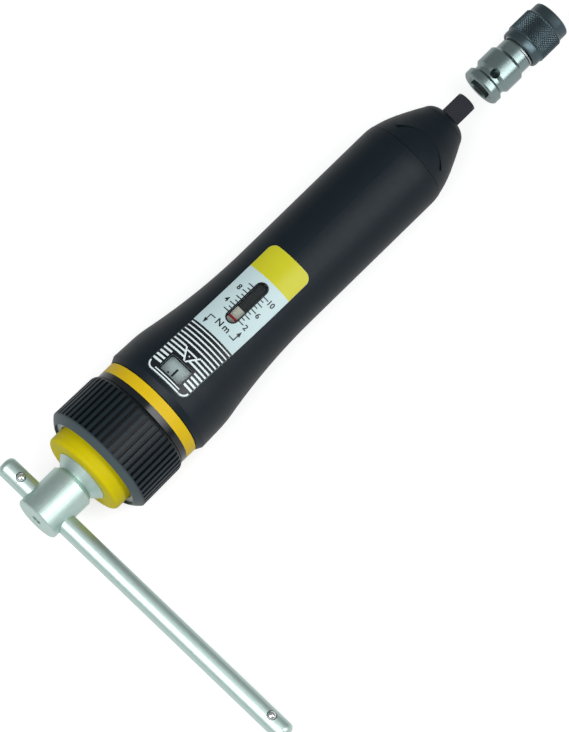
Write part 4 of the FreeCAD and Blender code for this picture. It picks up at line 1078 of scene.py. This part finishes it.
    def figures(self) -> None:
        """The figures beside the slot and the unit behind it."""
        sets = [("2", 0, 0), ("4", 1, 1), ("6", 2, 0), ("8", 3, 1), ("10", 4, 0)]
        texts = [self.set_text(text, self.scale_start + self.scale_step * step,
                               self.figure_side[side] - (0.45 if len(text) > 1 else 0.0),
                               self.figure_height) for text, step, side in sets]
        texts.append(self.set_text("Nm", -104.95, 0.0, 2.05, 1.35))
        self.combined("scale_figures", "label_ink", texts)

    def combined(self, name: str, finish: str, texts: Sequence[tuple[Array, list]]) -> None:
        """Join texts with faces of any length into one piece."""
        points, faces, start = [], [], 0
        for some_points, some_faces in texts:
            points.append(some_points)
            faces += [[number + start for number in face] for face in some_faces]
            start += len(some_points)
        mesh = bpy.data.meshes.new(name)
        mesh.from_pydata(np.concatenate(points).tolist(), [], faces)
        self.piece(name, finish).from_mesh(mesh)

    def arrows(self) -> None:
        """The two bent arrows beside the unit: one points rearward, one forward."""
        shapes = []
        for start, corner, tip in (((-104.8, 3.3), (-104.8, 5.15), (-108.3, 5.15)),
                                   ((-105.9, -3.3), (-105.9, -5.15), (-102.3, -5.15))):
            shapes.append(self.press.stroke(start, (corner[0], corner[1]), 0.3, self.ink_lift))
            ahead = math.copysign(1.0, tip[0] - corner[0])
            shapes.append(self.press.stroke((corner[0] - ahead * 0.15, corner[1]),
                                            (tip[0] - ahead * 1.2, tip[1]), 0.3, self.ink_lift))
            shapes.append(self.press.stroke((tip[0] - ahead * 1.7, tip[1]), tip, 1.25,
                                            self.ink_lift, 0.02))
        self.piece("scale_arrows", "label_ink").from_faces(*self.press.join(shapes))

    def marker(self) -> None:
        """The red line across the pointer, a thin flat plate that moves with the nut."""
        half, deep = 0.42, 1.68
        corners = np.array([[x, y, z] for x in (self.marker_x - half, self.marker_x + half)
                            for y in (-deep, deep)
                            for z in (self.marker_radius - 0.05, self.marker_radius + 0.03)])
        faces = [[0, 1, 3, 2], [4, 6, 7, 5], [0, 4, 5, 1], [2, 3, 7, 6], [0, 2, 6, 4],
                 [1, 5, 7, 3]]
        Piece("pointer_line", "nut", "cream_plastic", self.paint["marker_red"]).from_faces(
            self.surface.roll.place(corners), np.array(faces))

    def drum_figures(self) -> None:
        """Tenths round the dial drum, one to each tenth of a turn, .1 under the window."""
        radius, middle, lead = 15.5, -125.4, 3.0
        texts = []
        for index in range(10):
            points, faces = mesh_shape(letters(f".{(index + 1) % 10}", 2.7, 1.1, 0.13))
            angle = math.radians(36.0 * index + lead) - points[:, 0] / radius
            lift = radius + np.where(points[:, 2] > 0, 0.04, -0.05)
            flat = np.stack([middle + points[:, 1], lift * np.sin(angle), lift * np.cos(angle)],
                            axis=1)
            texts.append((self.surface.roll.place(flat), faces))
        points, faces, start = [], [], 0
        for some_points, some_faces in texts:
            points.append(some_points)
            faces += [[number + start for number in face] for face in some_faces]
            start += len(some_points)
        mesh = bpy.data.meshes.new("drum_figures")
        mesh.from_pydata(np.concatenate(points).tolist(), [], faces)
        Piece("drum_figures", "collar", "drum_aluminium",
              self.paint["label_ink"]).from_mesh(mesh)


# ------------------------------------------------------------------ knurled sleeve

@dataclass
class KnurledSleeve:
    """The adapter's quick-release sleeve with its diamond knurl cut into the middle band."""

    paint: Paint
    roll: Roll
    knurl: tuple[float, float] = (25.4, 32.9)
    knurl_radius: float = 6.94
    depth: float = 0.3
    diamonds: int = 46
    rows: int = 8
    around: int = 368
    outside: tuple[tuple[float, float], ...] = (
        (36.9, 5.36), (36.9, 5.91), (36.6, 6.25), (36.0, 6.36), (33.8, 6.36), (33.65, 6.4))
    shoulder: tuple[tuple[float, float], ...] = (
        (25.25, 6.88), (25.03, 6.57), (23.2, 6.57), (22.65, 6.42), (22.4, 6.17))
    bore: tuple[tuple[float, float], ...] = (
        (22.4, 5.75), (26.4, 5.75), (26.4, 4.96), (27.2, 4.96), (27.2, 5.1), (32.8, 6.03),
        (33.1, 4.96), (35.85, 4.96), (35.85, 5.36))

    def build(self) -> None:
        """Turn the profile, cut the knurl and stand in for the plain sleeve."""
        band = np.linspace(self.knurl[1], self.knurl[0], self.rows * 8 + 1)
        profile = list(self.outside) + [(x, self.knurl_radius) for x in band] + list(
            self.shoulder) + list(self.bore)
        grid = revolve(profile, self.around)
        first = len(self.outside)
        chosen = slice(first, first + len(band))
        grid[chosen, :, 1:] *= self.cut(band)[:, :, None]
        item = Piece("knurled_sleeve", "sleeve", "black_steel", self.paint["knurled_steel"],
                     20.0).from_faces(self.roll.place(grid.reshape(-1, 3)),
                                      grid_faces(len(profile), self.around, True, True))
        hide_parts("quick_sleeve")

    def cut(self, x: Array) -> Array:
        """Share of the radius that is left where two families of helical grooves cross.

        With u and v the phases of the right-hand and left-hand grooves, the depth is the
        larger of the two V-shaped cuts 1 - |2 frac - 1|, and it fades at the band's ends.

        Args:
            x: Stations along the band.

        Returns:
            Array (stations, steps round the axis) of factors.
        """
        angle = np.linspace(0.0, self.diamonds, self.around, endpoint=False)
        along = (x - self.knurl[0]) / (self.knurl[1] - self.knurl[0]) * self.rows
        u = (angle[None, :] + along[:, None]) % 1.0
        v = (angle[None, :] - along[:, None]) % 1.0
        cut = np.maximum(1 - np.abs(2 * u - 1) * 1.6, 1 - np.abs(2 * v - 1) * 1.6)
        fade = smoothstep(np.minimum(x - self.knurl[0], self.knurl[1] - x) / 0.35)
        return 1.0 - self.depth / self.knurl_radius * np.clip(cut, 0.0, 1.0) * fade[:, None]


# ------------------------------------------------------------------ studio

@dataclass
class Studio:
    """Floor, lights and the camera, which looks down on the tool from over the scale."""

    box: tuple
    drive_roll: float
    tilt: float = 13.0
    heading: float = 44.3
    distance: float = 3.0
    frame_height: float = 0.2185
    drive_offset: tuple[float, float] = (0.05442, 0.0790)
    sensor: float = 36.0

    def directions(self) -> tuple[Array, Array, Array]:
        """Unit vectors to the camera, to its right and up.

        The tool's axis is seen at the heading over the picture's level, and its rear end
        leans towards the camera by the tilt.

        Returns:
            Vectors towards the camera, right and up.
        """
        turn, tilt = math.radians(self.drive_roll), math.radians(self.tilt)
        heading = math.radians(self.heading)
        normal = np.array([0.0, -math.sin(turn), math.cos(turn)])
        toward = math.cos(tilt) * normal + np.array([-math.sin(tilt), 0.0, 0.0])
        along = np.array([1.0, 0.0, 0.0]) + math.sin(tilt) * toward
        along /= np.linalg.norm(along)
        across = np.cross(toward, along)
        right = math.cos(heading) * along - math.sin(heading) * across
        up = math.sin(heading) * along + math.cos(heading) * across
        return toward, right, up

    def camera(self) -> None:
        """A long lens far away, so that the view is nearly parallel."""
        from mathutils import Matrix
        toward, right, up = self.directions()
        middle = -(self.drive_offset[0] * right + self.drive_offset[1] * up)
        data = bpy.data.cameras.new("camera")
        data.sensor_width = self.sensor
        data.sensor_fit = "AUTO"
        data.lens = self.sensor * self.distance / self.frame_height
        data.clip_end = 20.0
        item = bpy.data.objects.new("camera", data)
        place = Matrix.Identity(4)
        for column, vector in enumerate((right, up, toward, middle + toward * self.distance)):
            for row in range(3):
                place[row][column] = float(vector[row])
        item.matrix_world = place
        bpy.context.scene.collection.objects.link(item)
        bpy.context.scene.camera = item

    def floor(self) -> None:
        """A plain pale floor under the tool's lowest point, white to the camera."""
        level = self.box[0][2]
        half = 4.0
        mesh = bpy.data.meshes.new("floor")
        mesh.from_pydata([(-half, -half, level), (half, -half, level), (half, half, level),
                          (-half, half, level)], [], [(0, 1, 2, 3)])
        item = bpy.data.objects.new("floor", mesh)
        bpy.context.scene.collection.objects.link(item)
        material = bpy.data.materials.new("floor")
        material.use_nodes = True
        shader = Shader(material.node_tree)
        pale = shader.node("BsdfDiffuse", {"Color": (0.5, 0.5, 0.5, 1.0)})
        glow = shader.node("Emission", {"Color": (1.0, 1.0, 1.0, 1.0)})
        path = shader.node("LightPath")
        mirrored = shader.maths("MAXIMUM", path.outputs["Is Glossy Ray"],
                                path.outputs["Is Transmission Ray"])
        shader.feed(glow.inputs["Strength"], shader.maths(
            "ADD", shader.maths("MULTIPLY", path.outputs["Is Camera Ray"], 0.67),
            shader.maths("MULTIPLY", mirrored, 0.32)))
        both = shader.node("AddShader", {0: pale.outputs[0], 1: glow.outputs[0]})
        output = shader.node("OutputMaterial")
        shader.feed(output.inputs["Surface"], both.outputs[0])
        mesh.materials.append(material)
        item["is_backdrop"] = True

    def world(self) -> None:
        """Even soft light, with a white background for the camera and shiny surfaces."""
        world = bpy.data.worlds.new("studio")
        bpy.context.scene.world = world
        world.use_nodes = True
        shader = Shader(world.node_tree)
        path = shader.node("LightPath")
        level = shader.maths("ADD", 0.34, shader.maths(
            "MULTIPLY", path.outputs["Is Camera Ray"], 0.66))
        back = shader.node("Background", {"Color": (0.96, 1.0, 1.0, 1.0), "Strength": level})
        output = shader.node("OutputWorld")
        shader.feed(output.inputs["Surface"], back.outputs[0])

    def light(self, name: str, around: float, along: float, size: tuple[float, float],
              power: float, reach: float = 0.9) -> None:
        """A soft box aimed at the tool's middle.

        Args:
            name: The lamp's name.
            around: Its angle about the tool's axis from the camera's side, positive on the
                side where the long arm of the bar lies.
            along: Its lean from square towards the drive end.
            size: Its length along the tool and its width.
            power: Watts.
            reach: Distance.
        """
        from mathutils import Vector
        turn = math.radians(self.drive_roll + around)
        lean = math.radians(along)
        direction = Vector((math.sin(lean), -math.sin(turn) * math.cos(lean),
                            math.cos(turn) * math.cos(lean)))
        data = bpy.data.lights.new(name, "AREA")
        data.shape = "RECTANGLE"
        data.size, data.size_y = size
        data.energy = power
        item = bpy.data.objects.new(name, data)
        middle = Vector((-0.075, -0.01, 0.0))
        item.location = middle + direction * reach
        item.rotation_euler = direction.to_track_quat("Z", "X").to_euler()
        bpy.context.scene.collection.objects.link(item)

    def build(self) -> None:
        """Set up everything round the tool."""
        self.floor()
        self.world()
        self.light("key", 24.0, 13.0, (1.0, 0.24), 4.0)
        self.light("rear", -10.0, -40.0, (0.6, 0.6), 4.8)
        self.camera()
        bpy.context.scene.view_settings.view_transform = "Standard"


def main() -> None:
    """Build the sub-assemblies in order."""
    logging.basicConfig(level=logging.INFO, format="%(name)s: %(message)s")
    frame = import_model()
    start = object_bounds()
    tool_roll = roll_of_joint(frame, "bar_slide")
    drive_roll = tool_roll + 9.5
    paint = Paint()
    paint.dress_nodes(frame)
    ScaleLabel(paint, GripSurface(Roll(tool_roll))).build()
    KnurledSleeve(paint, Roll(drive_roll)).build()
    Studio(start, drive_roll).build()
    LOG.info("dressed %d nodes", len(frame["nodes"]))


if __name__ == "__main__":
    main()
